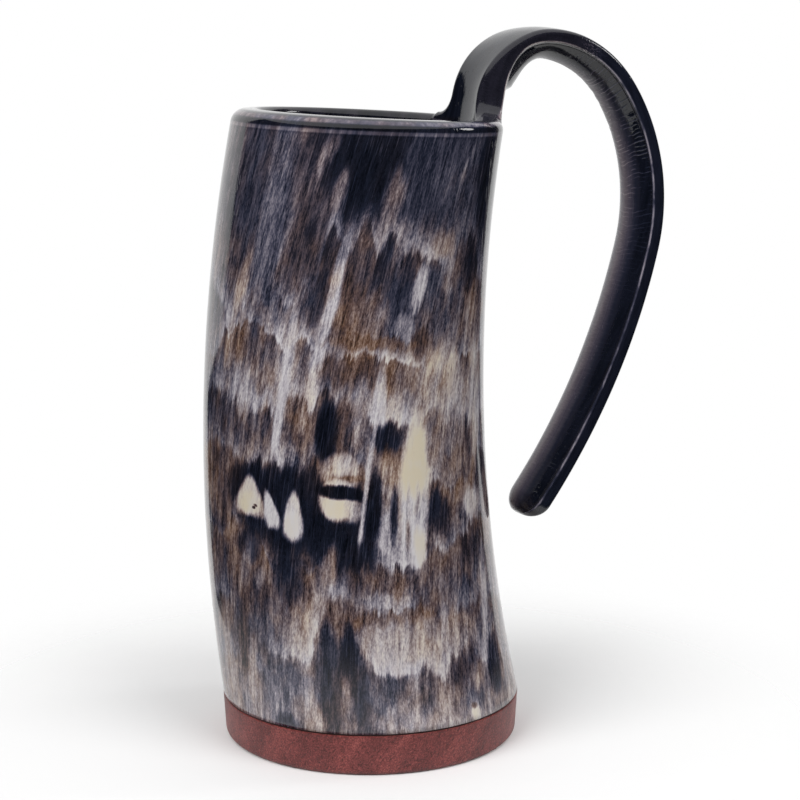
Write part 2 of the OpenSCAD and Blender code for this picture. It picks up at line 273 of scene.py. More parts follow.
# %% Notch and handle
made_loops, loop_lengths = [], []
rim_rounds, handle_rounds = np.array([rim_outer_round, rim_inner_round]), np.array([grip_round, back_round])
for tilt in np.radians(90 * np.arange(1, notch_steps + 1) / notch_steps):
    half = tongue_width / 2 + notch_radius * (1 - math.sin(tilt))
    lift = notch_radius * (1 - math.cos(tilt))
    rounds = mix(rim_rounds, handle_rounds, ease(tilt / math.radians(90)))
    drop = wall_drop(*(half - rounds * math.sin(tilt)))
    made_loops.append(loop_of(root, half, lift, tilt, rim_wall, drop, rounds, rim_splay))
    loop_lengths.append(lift)
for at in handle_line:
    x, z, lean, length = at
    q, m = length / handle_length, ease((length - notch_radius) / blend_length)
    rest = min(1.0, (handle_length - length) / tip_round)
    kept = mix(tip_share, 1.0, math.sqrt(max(0.0, 1 - (1 - rest) ** 2)))
    half, size = along(handle_widths, q) / 2, along(handle_thicknesses, q)
    drop = mix(wall_drop(half - grip_round, half - back_round), np.array([grip_crown, back_crown]), m)
    swollen = ease((length - notch_radius) / swell_rise) * (1 - ease((length - swell_end) / swell_fall))
    more = root_swell * swollen
    pushed_out = (x + more / 2 * math.cos(lean), z - more / 2 * math.sin(lean), lean, length)
    made_loops.append(loop_of(
        pushed_out, half * kept, 0, math.pi / 2, (size + more) * kept, (drop + np.array([more, 0.0])) * kept,
        handle_rounds * kept, mix(rim_splay, 1, m)))
    loop_lengths.append(length)
loops, loop_marks = map(list, zip(*made_loops))
print(len(loops), "loops of", len(loops[0]), "corners")

# %% [markdown]
# ## Sewing the skin together
# Corners are numbered ring by ring, so a face is four numbers. The gap in the rim is skipped, the loops
# are sewn to its corners, and the tip closes in a small fan. Three things ride on the mesh: the place of
# each corner in the straightened horn (fibres run straight up there), a flat map of the unrolled wall,
# and masks for the cut sides, the back of the handle and the way along it.

# %% Horn mesh
FRONT = math.radians(-117)
MAP_RADIUS, FIBRE_SLANT = 36.0, 0.16
rim_first, rim_last = outer_rings - 1, outer_rings + 2 * edge_steps


def corner(ring, i):
    return ring * ring_sides + i % ring_sides


faces = []
for k in range(len(rings)):
    above = (k + 1) % len(rings)
    for i in range(ring_sides):
        if not (rim_first <= k < rim_last and i < tongue_sides):
            faces.append((corner(k, i), corner(k, i + 1), corner(above, i + 1), corner(above, i)))
below = [corner(rim_first, i) for i in range(tongue_sides + 1)]
below += [corner(k, tongue_sides) for k in range(rim_first + 1, rim_last)]
below += [corner(rim_last, tongue_sides - i) for i in range(tongue_sides + 1)]
below += [corner(rim_last - k, 0) for k in range(1, rim_last - rim_first)]
first_loop, loop_size = len(rings) * ring_sides, len(below)
for j in range(len(loops)):
    above = [first_loop + j * loop_size + i for i in range(loop_size)]
    for i in range(loop_size):
        n = (i + 1) % loop_size
        faces.append((below[i], below[n], above[n], above[i]))
    below = above
tip_centre = first_loop + len(loops) * loop_size
faces += [(below[i], below[(i + 1) % loop_size], tip_centre) for i in range(loop_size)]
points = np.concatenate(rings + loops + [loops[-1].mean(0)[None]])
print(len(faces), "faces sewn")

# %% What each corner remembers
plain = 0 * ring_angles
cup_facts = [np.stack([ring_angles, plain + d, plain, plain, plain, plain], -1) for _, d in ring_rows]
facts = np.concatenate(cup_facts + loop_marks + [loop_marks[-1].mean(0)[None]])
ring_heights = np.repeat([s * horn_height for s, _ in ring_rows], ring_sides)
loop_gone = np.repeat(loop_lengths, loop_size)
height = np.concatenate([ring_heights, horn_height + loop_gone, [horn_height + handle_length]])
gone = np.concatenate([np.zeros(first_loop), loop_gone, [handle_length]])
ring_outside = np.repeat([float(d < 0.5 * rim_wall) for _, d in ring_rows], ring_sides)
outside = np.concatenate([ring_outside, np.ones(len(points) - first_loop)])

skin = bpy.data.meshes.new("horn_skin")
skin.from_pydata((points * MM).tolist(), [], faces)
skin.shade_smooth()


def remember(mesh, name, values):
    """Stores one number or one vector for each corner of the mesh."""
    kind, field = ("FLOAT", "value") if np.ndim(values) == 1 else ("FLOAT_VECTOR", "vector")
    stored_here = mesh.attributes.new(name, kind, "POINT").data
    stored_here.foreach_set(field, np.asarray(values, np.float32).ravel())


turned = facts[:, 0] - FIBRE_SLANT * height / MAP_RADIUS
fibre_radius = MAP_RADIUS - facts[:, 1]
grain_place = np.stack([fibre_radius * np.cos(turned), fibre_radius * np.sin(turned), height], -1)
remember(skin, "grain_place", grain_place)
for fact, name in enumerate(("cut_side", "handle_back", "glinting_worn_corner", "across_handle"), 2):
    remember(skin, name, facts[:, fact])
remember(skin, "handle_gone", gone)
remember(skin, "outside", outside)
print("horn skin:", len(skin.vertices), "corners,", len(skin.polygons), "faces")

# %% [markdown]
# ## A flat map of the wall
# Spots and bands of the horn are easiest to place on the wall as if it were slit at the back and rolled
# out flat: millimetres to the right of the front line, and millimetres up from the foot. A map belongs
# to face corners, not to points, so the faces at the slit can be given both of its ends.

# %% Unrolled map
girth = 2 * math.pi * MAP_RADIUS
flat_x = MAP_RADIUS * ((facts[:, 0] - FRONT + math.pi) % (2 * math.pi) - math.pi)
loop_vertex = np.zeros(len(skin.loops), np.int32)
skin.loops.foreach_get("vertex_index", loop_vertex)
loop_face = np.repeat(np.arange(len(skin.polygons)), [len(f) for f in faces])
u = flat_x[loop_vertex]
highest = np.full(len(skin.polygons), -1e9)
np.maximum.at(highest, loop_face, u)
u = np.where(highest[loop_face] - u > girth / 2, u + girth, u)
unrolled = skin.uv_layers.new(name="unrolled")
unrolled.uv.foreach_set("vector", np.stack([u, height[loop_vertex]], -1).astype(np.float32).ravel())
print("unrolled wall: %.0f mm round, %.0f mm high with the handle" % (girth, height.max()))

# %% [markdown]
# ## A short way to write node trees
# Node trees are lists of nodes and links, and written out in full they hide what they do. This small
# bench adds a node, sets or links its inputs, and gives back the socket that the next node needs. It
# serves shader trees and geometry trees alike.

# %% Node bench


class Bench:
    def __init__(self, tree):
        self.tree = tree

    def node(self, kind, *values, out=0, **settings):
        """Adds a node; values go to its inputs in order, None leaves one alone, and sockets are linked."""
        made = self.tree.nodes.new(kind)
        for name, value in settings.items():
            setattr(made, name, value)
        self.feed(made, dict(enumerate(values)))
        return made.outputs[out] if out is not None else made

    def feed(self, node, inputs):
        for key, value in inputs.items():
            if isinstance(value, bpy.types.NodeSocket):
                self.tree.links.new(value, node.inputs[key])
            elif value is not None:
                node.inputs[key].default_value = value

    def math(self, operation, *values, clamp=False):
        return self.node("ShaderNodeMath", *values, operation=operation, use_clamp=clamp)

    def plus(self, a, b):
        return self.math("ADD", a, b)

    def minus(self, a, b):
        return self.math("SUBTRACT", a, b)

    def times(self, a, b, clamp=False):
        return self.math("MULTIPLY", a, b, clamp=clamp)

    def times_plus(self, a, b, c):
        return self.math("MULTIPLY_ADD", a, b, c)

    def over(self, a, b):
        return self.math("DIVIDE", a, b)

    def rest_of(self, share):
        return self.minus(1.0, share)

    def larger(self, *values):
        first, *others = values
        for other in others:
            first = self.math("MAXIMUM", first, other)
        return first

    def vector(self, operation, *values):
        return self.node("ShaderNodeVectorMath", *values, operation=operation,
                         out=1 if operation in ("LENGTH", "DOT_PRODUCT", "DISTANCE") else 0)

    def stretch(self, place, scale):
        return self.vector("MULTIPLY", place, scale)

    def between(self, value, low, high, to_low=0.0, to_high=1.0):
        return self.node("ShaderNodeMapRange", value, low, high, to_low, to_high,
                         interpolation_type="SMOOTHSTEP")

    def noise(self, place, scale=1.0, detail=2.0, roughness=0.5, distortion=0.0, out=0):
        made = self.node("ShaderNodeTexNoise", out=None)
        self.feed(made, {"Vector": place, "Scale": scale, "Detail": detail, "Roughness": roughness,
                         "Distortion": distortion})
        return made.outputs[out]

    def long_noise(self, place, scale, *settings):
        """Noise that is stretched along an axis, as fibres are."""
        return self.noise(self.stretch(place, scale), 1.0, *settings)

    def blend(self, factor, a, b):
        return self.blend_as("FLOAT", factor, a, b)

    def blend_as(self, kind, factor, a, b):
        first, result = {"FLOAT": (2, 0), "VECTOR": (4, 1), "RGBA": (6, 2)}[kind]
        made = self.node("ShaderNodeMix", out=None, data_type=kind)
        self.feed(made, {0: factor, first: a, first + 1: b})
        return made.outputs[result]

    def parts(self, vector):
        return self.node("ShaderNodeSeparateXYZ", vector, out=None).outputs

    def join(self, x, y, z):
        return self.node("ShaderNodeCombineXYZ", x, y, z)


def srgb(red, green, blue):
    """A colour as seen on a screen, 0 to 255, in the straight-line values that shaders use."""
    seen = np.array([red, green, blue]) / 255
    return (*np.where(seen <= 0.04045, seen / 12.92, ((seen + 0.055) / 1.055) ** 2.4).tolist(), 1.0)


def new_group(kind, name, inputs, outputs):
    """A node group with named sockets; inputs are (name, socket kind, value)."""
    tree = bpy.data.node_groups.new(name, kind)
    for label, socket, value in inputs:
        made = tree.interface.new_socket(label, in_out="INPUT", socket_type=socket)
        if value is not None:
            made.default_value = value
    for label, socket in outputs:
        tree.interface.new_socket(label, in_out="OUTPUT", socket_type=socket)
    bench = Bench(tree)
    entry, exit_ = tree.nodes.new("NodeGroupInput"), tree.nodes.new("NodeGroupOutput")
    return bench, entry.outputs, exit_


FLOAT, VECTOR, GEOMETRY, WHOLE, FINISH = (
    "NodeSocket" + kind for kind in ("Float", "Vector", "Geometry", "Int", "Material"))
print("node bench ready")

# %% [markdown]
# ## Hand work on the horn
# The real horn was scraped and polished by hand, so its skin is never quite even, and the inside of the
# handle's bend shows small folds where the hot horn was pressed together. A Geometry Nodes tree moves
# the corners inwards by that little, which also bends the reflections. Bump alone would leave the
# outline and the exported mesh too perfect.

# %% Geometry nodes: hand work
FOLDS_RISE, FOLDS_FALL, FOLD_WANDER = 0.012, 0.016, 1.8
bench, given, result = new_group("GeometryNodeTree", "hand_work", [
    ("Geometry", GEOMETRY, None), ("Polish loss", FLOAT, 0.00004), ("Scrape depth", FLOAT, 0.00008),
    ("Scrape size", FLOAT, 0.016), ("Fold depth", FLOAT, 0.00022), ("Fold spacing", FLOAT, 0.0032),
    ("First fold", FLOAT, 0.040), ("Last fold", FLOAT, 0.074), ("Seed", FLOAT, 3.0),
    ("Finish", FINISH, None)], [("Geometry", GEOMETRY)])


def stored(bench, name):
    made = bench.node("GeometryNodeInputNamedAttribute", out=None, data_type="FLOAT")
    made.inputs["Name"].default_value = name
    return made.outputs[0]


def end_tree(bench, given, result, geometry):
    """Every tree ends with real geometry that carries its finish."""
    realised = bench.node("GeometryNodeRealizeInstances", geometry)
    bench.feed(result, {"Geometry": bench.node("GeometryNodeSetMaterial", realised, None, given["Finish"])})
    return bench.tree


gone_m = bench.times(stored(bench, "handle_gone"), MM)
seed_shift = bench.join(given["Seed"], given["Seed"], 0.0)
moved = bench.vector("ADD", bench.node("GeometryNodeInputPosition"), seed_shift)
scrape = bench.noise(moved, bench.over(1.0, given["Scrape size"]), 1.0)
scraped = bench.times_plus(scrape, given["Scrape depth"], given["Polish loss"])
scraped = bench.times(scraped, stored(bench, "outside"))
fold_count = bench.over(gone_m, given["Fold spacing"])
wander = bench.times_plus(bench.noise(moved, 180.0, 2.0), FOLD_WANDER, fold_count)
fold = bench.times_plus(bench.math("SINE", bench.times(wander, 2 * math.pi)), 0.5, 0.5)
fold = bench.times(bench.math("POWER", fold, 2.0), given["Fold depth"])
rising = bench.between(gone_m, given["First fold"], bench.plus(given["First fold"], FOLDS_RISE))
falling = bench.between(gone_m, bench.minus(given["Last fold"], FOLDS_FALL), given["Last fold"], 1.0, 0.0)
inner_face = bench.times(bench.rest_of(stored(bench, "handle_back")), bench.rest_of(stored(bench, "cut_side")))
strength = bench.times(bench.times(rising, falling), inner_face)
patchy = bench.between(bench.noise(moved, 120.0, 1.0), 0.35, 0.6)
folded = bench.times(fold, bench.times(strength, patchy))
move = bench.node("ShaderNodeVectorMath", bench.node("GeometryNodeInputNormal"), out=None, operation="SCALE")
bench.feed(move, {"Scale": bench.times(bench.plus(scraped, folded), -1.0)})
worked = bench.node("GeometryNodeSetPosition", given["Geometry"], None, None, move.outputs[0])
hand_work = end_tree(bench, given, result, worked)
print("hand work:", len(hand_work.nodes), "nodes")

# %% Running a tree


def socket_id(tree, label):
    """A modifier's input is set by its identifier, which stays when a socket is renamed."""
    return next(s.identifier for s in tree.interface.items_tree if s.name == label and s.in_out == "INPUT")


def made_by_nodes(name, tree, mesh, finish, **sizes):
    """Runs a tree on a mesh and gives back a plain object with the finished mesh."""
    blank = bpy.data.objects.new(name + "_blank", mesh)
    bpy.context.scene.collection.objects.link(blank)
    modifier = blank.modifiers.new(name, "NODES")
    modifier.node_group = tree
    modifier[socket_id(tree, "Finish")] = finish
    for label, value in sizes.items():
        modifier[socket_id(tree, label.replace("_", " "))] = value
    bpy.context.view_layer.update()
    graph = bpy.context.evaluated_depsgraph_get()
    finished = bpy.data.meshes.new_from_object(blank.evaluated_get(graph), depsgraph=graph)
    blank.modifiers.remove(modifier)
    bpy.data.objects.remove(blank)
    finished.name = name
    piece = bpy.data.objects.new(name, finished)
    bpy.context.scene.collection.objects.link(piece)
    print(name + ":", len(finished.vertices), "corners,", len(finished.polygons), "faces")
    return piece


FINISH_NAMES = ("polished_horn", "red_hardwood", "dark_glue", "clear_resin", "bore_lacquer")
finishes = [bpy.data.materials.new(name) for name in FINISH_NAMES]
horn_finish, wood_finish, glue_finish, resin_finish, lacquer_finish = finishes
horn_cup = made_by_nodes("horn_cup", hand_work, skin, horn_finish)

# %% [markdown]
# ## The lacquer in the bore
# The bore is brushed with a food-safe lacquer. Its shape follows a rule, the cup's own: at each height a
# radius, a sideways bow and a sloping rim. So a plain grid is enough, and a tree that knows the rule
# puts each grid corner in place: up the back of the coat, over its rim and down its front.

# %% Geometry nodes: coat on the bore
LENGTHS = [("Cup height", cup_height), ("Foot diameter", foot_diameter), ("Waist diameter", waist_diameter),
           ("Rim diameter", rim_diameter), ("Bow", bow), ("Foot wall", foot_wall), ("Rim wall", rim_wall),
           ("Foot z", foot_z), ("Back inset", 0.06), ("Coat", 0.3)]
MERGE_WITHIN = 1e-6
bench, given, result = new_group("GeometryNodeTree", "bore_coat", [
    ("Geometry", GEOMETRY, None), *((name, FLOAT, mm * MM) for name, mm in LENGTHS),
    ("Rim slope", FLOAT, math.tan(rim_slope)), ("Low share", FLOAT, 0.09), ("High share", FLOAT, 0.98),
    ("Rows up", WHOLE, 48), ("Columns", WHOLE, 144), ("Finish", FINISH, None)], [("Geometry", GEOMETRY)])


def spun_grid(bench, columns, rows):
    """A flat grid, and for each of its corners the row and the angle round the axis."""
    grid = bench.node("GeometryNodeMeshGrid", 1.0, 1.0, bench.plus(columns, 1.0), rows)
    index = bench.node("GeometryNodeInputIndex")
    column = bench.math("FLOOR", bench.over(bench.plus(index, 0.5), rows))
    row = bench.minus(index, bench.times(column, rows))
    return grid, row, bench.times(bench.over(column, columns), 2 * math.pi)


def sewn(bench, grid, x, y, z):
    """The grid with its corners in place and its seam and poles closed."""
    placed = bench.node("GeometryNodeSetPosition", grid, None, bench.join(x, y, z))
    merged = bench.node("GeometryNodeMergeByDistance", placed, out=None)
    bench.feed(merged, {"Distance": MERGE_WITHIN})
    return bench.node("GeometryNodeSetShadeSmooth", merged.outputs[0])


rows_up = given["Rows up"]
grid, row, angle = spun_grid(bench, given["Columns"], bench.times_plus(rows_up, 2.0, 1.0))
on_back = bench.math("LESS_THAN", row, bench.minus(rows_up, 0.5))
off_back = bench.rest_of(on_back)
closing = bench.math("GREATER_THAN", row, bench.times_plus(rows_up, 2.0, -0.5))
front_row = bench.minus(bench.times_plus(rows_up, 2.0, -1.0), row)
front_row = bench.times(bench.larger(front_row, 0.0), off_back)
rise = bench.over(bench.plus(bench.times(row, on_back), front_row), bench.minus(rows_up, 1.0))
s = bench.times_plus(bench.minus(given["High share"], given["Low share"]), rise, given["Low share"])
less = bench.rest_of(s)
both, half_way = bench.times(s, less), bench.times_plus(s, -2.0, 1.0)
foot_part = bench.times(given["Foot diameter"], bench.times(less, half_way))
waist_part = bench.times(given["Waist diameter"], bench.times(both, 4.0))
rim_part = bench.times(given["Rim diameter"], bench.times(s, half_way))
across_outside = bench.minus(bench.plus(foot_part, waist_part), rim_part)
thick = bench.times_plus(bench.minus(given["Rim wall"], given["Foot wall"]), s, given["Foot wall"])
on_front = bench.times(off_back, bench.rest_of(closing))
inset = bench.times_plus(given["Coat"], on_front, bench.plus(thick, given["Back inset"]))
r = bench.minus(bench.times(across_outside, 0.5), inset)
bowed = bench.times(bench.times(given["Bow"], both), -4.0)
x = bench.times_plus(r, bench.math("COSINE", angle), bowed)
y = bench.times(r, bench.math("SINE", angle))
rim_fall = bench.times(given["Rim slope"], given["Rim diameter"])
rim_fall = bench.times(rim_fall, bench.times(bench.math("COSINE", angle), 0.5))
rim_height = bench.minus(bench.minus(given["Cup height"], rim_fall), given["Foot z"])
z = bench.times_plus(s, rim_height, given["Foot z"])
coat_tree = end_tree(bench, given, result, sewn(bench, grid, x, y, z))
bore_coat = made_by_nodes("bore_coat", coat_tree, bpy.data.meshes.new("empty_grid"), lacquer_finish,
                          Low_share=share_at(seat_top + 0.1), High_share=1 - rim_inner_round / horn_height)

# %% [markdown]
# ## Turned pieces
# The wooden plate, its plug, the film of glue and the poured resin are all round about an upright axis.
# A turner cuts such a piece to one profile on the lathe. The tree does the same: it reads the profile,
# a line of corners drawn at the right of the axis, and spins it. One tree serves all four pieces.

# %% Geometry nodes: lathe
bench, given, result = new_group("GeometryNodeTree", "lathe", [
    ("Geometry", GEOMETRY, None), ("Columns", WHOLE, 180), ("Axis x", FLOAT, 0.0), ("Finish", FINISH, None)],
    [("Geometry", GEOMETRY)])
size = bench.node("GeometryNodeAttributeDomainSize", given["Geometry"], out=None)
grid, row, angle = spun_grid(bench, given["Columns"], size.outputs["Point Count"])
sample = bench.node("GeometryNodeSampleIndex", out=None, data_type="FLOAT_VECTOR")
bench.feed(sample, {"Geometry": given["Geometry"], "Index": row,
                    "Value": bench.node("GeometryNodeInputPosition")})
radius, _, level = bench.parts(sample.outputs[0])
x = bench.times_plus(radius, bench.math("COSINE", angle), given["Axis x"])
y = bench.times(radius, bench.math("SINE", angle))
lathe = end_tree(bench, given, result, sewn(bench, grid, x, y, level))


def rounded_profile(corners, steps=6):
    """A line through corners (radius, height, rounding) in mm, with each corner rounded off."""
    line = []
    for k, (r, z, rounding) in enumerate(corners):
        here = np.array([r, z])
        if rounding == 0:
            line.append(here)
            continue
        before, after = np.array(corners[k - 1][:2]) - here, np.array(corners[k + 1][:2]) - here
        start, end = (here + rounding * w / np.linalg.norm(w) for w in (before, after))
        for t in np.linspace(0, 1, steps + 1):
            line.append(mix(mix(start, here, t), mix(here, end, t), t))
    return np.array(line)


def turned_piece(name, corners, finish, axis=0.0):
    line = rounded_profile(corners)
    profile = bpy.data.meshes.new(name + "_profile")
    edges = [(k, k + 1) for k in range(len(line) - 1)]
    profile.from_pydata([(r * MM, 0.0, z * MM) for r, z in line], edges, [])
    return made_by_nodes(name, lathe, profile, finish, Axis_x=axis * MM)


print("lathe ready")

# %% [markdown]
# ## Base, glue and floor
# The plate tapers a little to the table and its lower edge is rounded over. The plug stands inside the
# horn, off the plate's middle because the horn leans. Glue fills the joint and shows as a dark line.
# The resin floor has a hollow corner where it creeps up the wall.

# %% Turned pieces
plate_top, plate_low = foot_diameter / 2, foot_diameter / 2 - 0.6
plate_round, plate_arris, flat_rim, plug_bevel, bevel_round = 1.6, 0.35, 4.0, 0.8, 0.2
facet_room, glue_recess, film_inset, resin_depth, resin_recess = 0.06, 0.3, 1.5, 1.5, 0.3
plug_radius = seat_radius - facet_room - glue_gap
wood_plate = turned_piece("wood_plate", [
    (0, 0, 0), (plate_low - flat_rim, 0, 0), (plate_low, 0, plate_round),
    (plate_top, base_thickness, plate_arris), (plate_top - flat_rim, base_thickness, 0),
    (0, base_thickness, 0)], wood_finish)
wood_plug = turned_piece("wood_plug", [
    (0, base_thickness, 0), (plug_radius, base_thickness, 0),
    (plug_radius, plug_top - plug_bevel, bevel_round), (plug_radius - plug_bevel, plug_top, bevel_round),
    (0, plug_top, 0)], wood_finish, seat_x)
film_in, film_out = plug_radius - film_inset, foot_diameter / 2 - glue_recess
glue_line = turned_piece("glue_line", [
    (film_in, base_thickness, 0), (film_out, base_thickness, 0), (film_out, foot_z, 0),
    (film_in, foot_z, 0), (film_in, base_thickness, 0)], glue_finish)
floor_rim, floor_top = seat_radius - facet_room, plug_top + resin_depth
hollow = [(floor_rim - resin_recess - seat_fillet * (1 - math.cos(a)),
           floor_top + seat_fillet * (1 - math.sin(a)), 0) for a in np.radians(np.linspace(0, 90, 10))]
resin_floor = turned_piece("resin_floor", [
    (0, plug_top, 0), (floor_rim, plug_top, 0), (floor_rim, floor_top + seat_fillet, 0), *hollow,
    (0, floor_top, 0)], resin_finish, seat_x)

# %% [markdown]
# ## Shared effects
# Horn and wood are both bundles of fibres, so one group draws fine streaks: noise stretched along the
# fibres, and a slower one that says how far a fibre is pushed up or down. All polished pieces have hair
# scratches and smudges from handling, so one group gives a roughness and a height for those.

# %% Shader group: fibre streaks
bench, given, result = new_group("ShaderNodeTree", "fibre_streaks", [
    ("Place", VECTOR, None), ("Fibres per mm", FLOAT, 2.0), ("Fibre length", FLOAT, 9.0),
    ("Push", FLOAT, 6.0)], [("Fine", FLOAT), ("Broad", FLOAT), ("Push", FLOAT), ("Fleck", FLOAT)])
per_length = bench.over(1.0, given["Fibre length"])
fibre_scale = bench.join(given["Fibres per mm"], given["Fibres per mm"], per_length)
laid = bench.vector("MULTIPLY", given["Place"], fibre_scale)
fine = bench.long_noise(laid, (0.5, 0.5, 1.4), 3.0, 0.68)
broad = bench.long_noise(laid, (0.24, 0.24, 0.55), 3.0, 0.62)
slow = bench.long_noise(laid, (0.10, 0.10, 0.38), 4.0, 0.62)
fleck = bench.long_noise(laid, (1.3, 1.3, 8.0), 2.0, 0.6)
ragged = 0.0
for part, share in ((slow, 1.7), (broad, 0.8), (fine, 0.35)):
    ragged = bench.times_plus(bench.minus(part, 0.5), share, ragged)
bench.feed(result, {"Fine": fine, "Broad": broad, "Push": bench.times(ragged, given["Push"]), "Fleck": fleck})
fibre_streaks = bench.tree
print("fibre streaks:", len(fibre_streaks.nodes), "nodes")

# %% Shader group: polish marks
SCRATCH_TURNS = ((0.5, 0.0), (-0.9, 4.0), (1.9, 9.0))
SCRATCH_DEPTH, SMUDGE_HEIGHT = -0.6, 0.25
bench, given, result = new_group("ShaderNodeTree", "polish_marks", [
    ("Place", VECTOR, None), ("Roughness", FLOAT, 0.15), ("Scratches", FLOAT, 0.15), ("Smudges", FLOAT, 0.08)],
    [("Roughness", FLOAT), ("Height", FLOAT)])
smudge = bench.long_noise(given["Place"], (60.0, 60.0, 60.0), 3.0, 0.6)
hairs = []
for turn, seed in SCRATCH_TURNS:
    laid = bench.node("ShaderNodeMapping", given["Place"], (seed, seed, seed), (turn, 0.35 * turn, turn),
                      (1500.0, 1500.0, 28.0))
    hairs.append(bench.between(bench.noise(laid, 1.0, 1.0), 0.69, 0.76))
lines = bench.larger(*hairs)
rough = bench.times_plus(lines, given["Scratches"], given["Roughness"])
rough = bench.times_plus(bench.minus(smudge, 0.5), given["Smudges"], rough)
height = bench.times_plus(lines, SCRATCH_DEPTH, bench.times(smudge, SMUDGE_HEIGHT))
bench.feed(result, {"Roughness": rough, "Height": height})
polish_marks = bench.tree
print("polish marks:", len(polish_marks.nodes), "nodes")

# %% Helpers for finishes


def group(bench, tree, **inputs):
    made = bench.tree.nodes.new("ShaderNodeGroup")
    made.node_tree = tree
    bench.feed(made, {k.replace("_", " "): v for k, v in inputs.items()})
    return made.outputs


def finish_of(material):
    """A bench with the material's Principled shader on it, and the place of each point on the piece."""
    material.use_nodes = True
    tree = material.node_tree
    tree.nodes.clear()
    shader, out = tree.nodes.new("ShaderNodeBsdfPrincipled"), tree.nodes.new("ShaderNodeOutputMaterial")
    tree.links.new(shader.outputs[0], out.inputs["Surface"])
    bench = Bench(tree)
    return bench, shader, bench.node("ShaderNodeTexCoord", out=3)


def colour_ramp(bench, value, stops):
    """A ramp through stops of (place, red, green, blue), with colours as seen on a screen."""
    made = bench.node("ShaderNodeValToRGB", value, out=None)
    ramp = made.color_ramp
    while len(ramp.elements) < len(stops):
        ramp.elements.new(0.5)
    for element, (at, *screen) in zip(ramp.elements, stops):
        element.position, element.color = at, srgb(*screen)
    return made.outputs[0]


def bumped(bench, shader, height, strength, distance):
    made = bench.node("ShaderNodeBump", out=None)
    bench.feed(made, {"Height": height, "Strength": strength, "Distance": distance})
    bench.feed(shader, {"Normal": made.outputs[0]})


print("helpers ready for", len(finishes), "finishes")

# %% [markdown]
# ## Growth lines in the horn
# A dark horn is streaked with pale and brown clouds that grew in layers. Just above a growth line the
# horn is pale; higher up it turns brown and then nearly black, until the next line starts again. The
# lines run round the wall in scallops, so each is drawn as a curve on the unrolled wall. A curve node
# reads three things at once: how high the line is, how pale the horn is there and how far that fades.

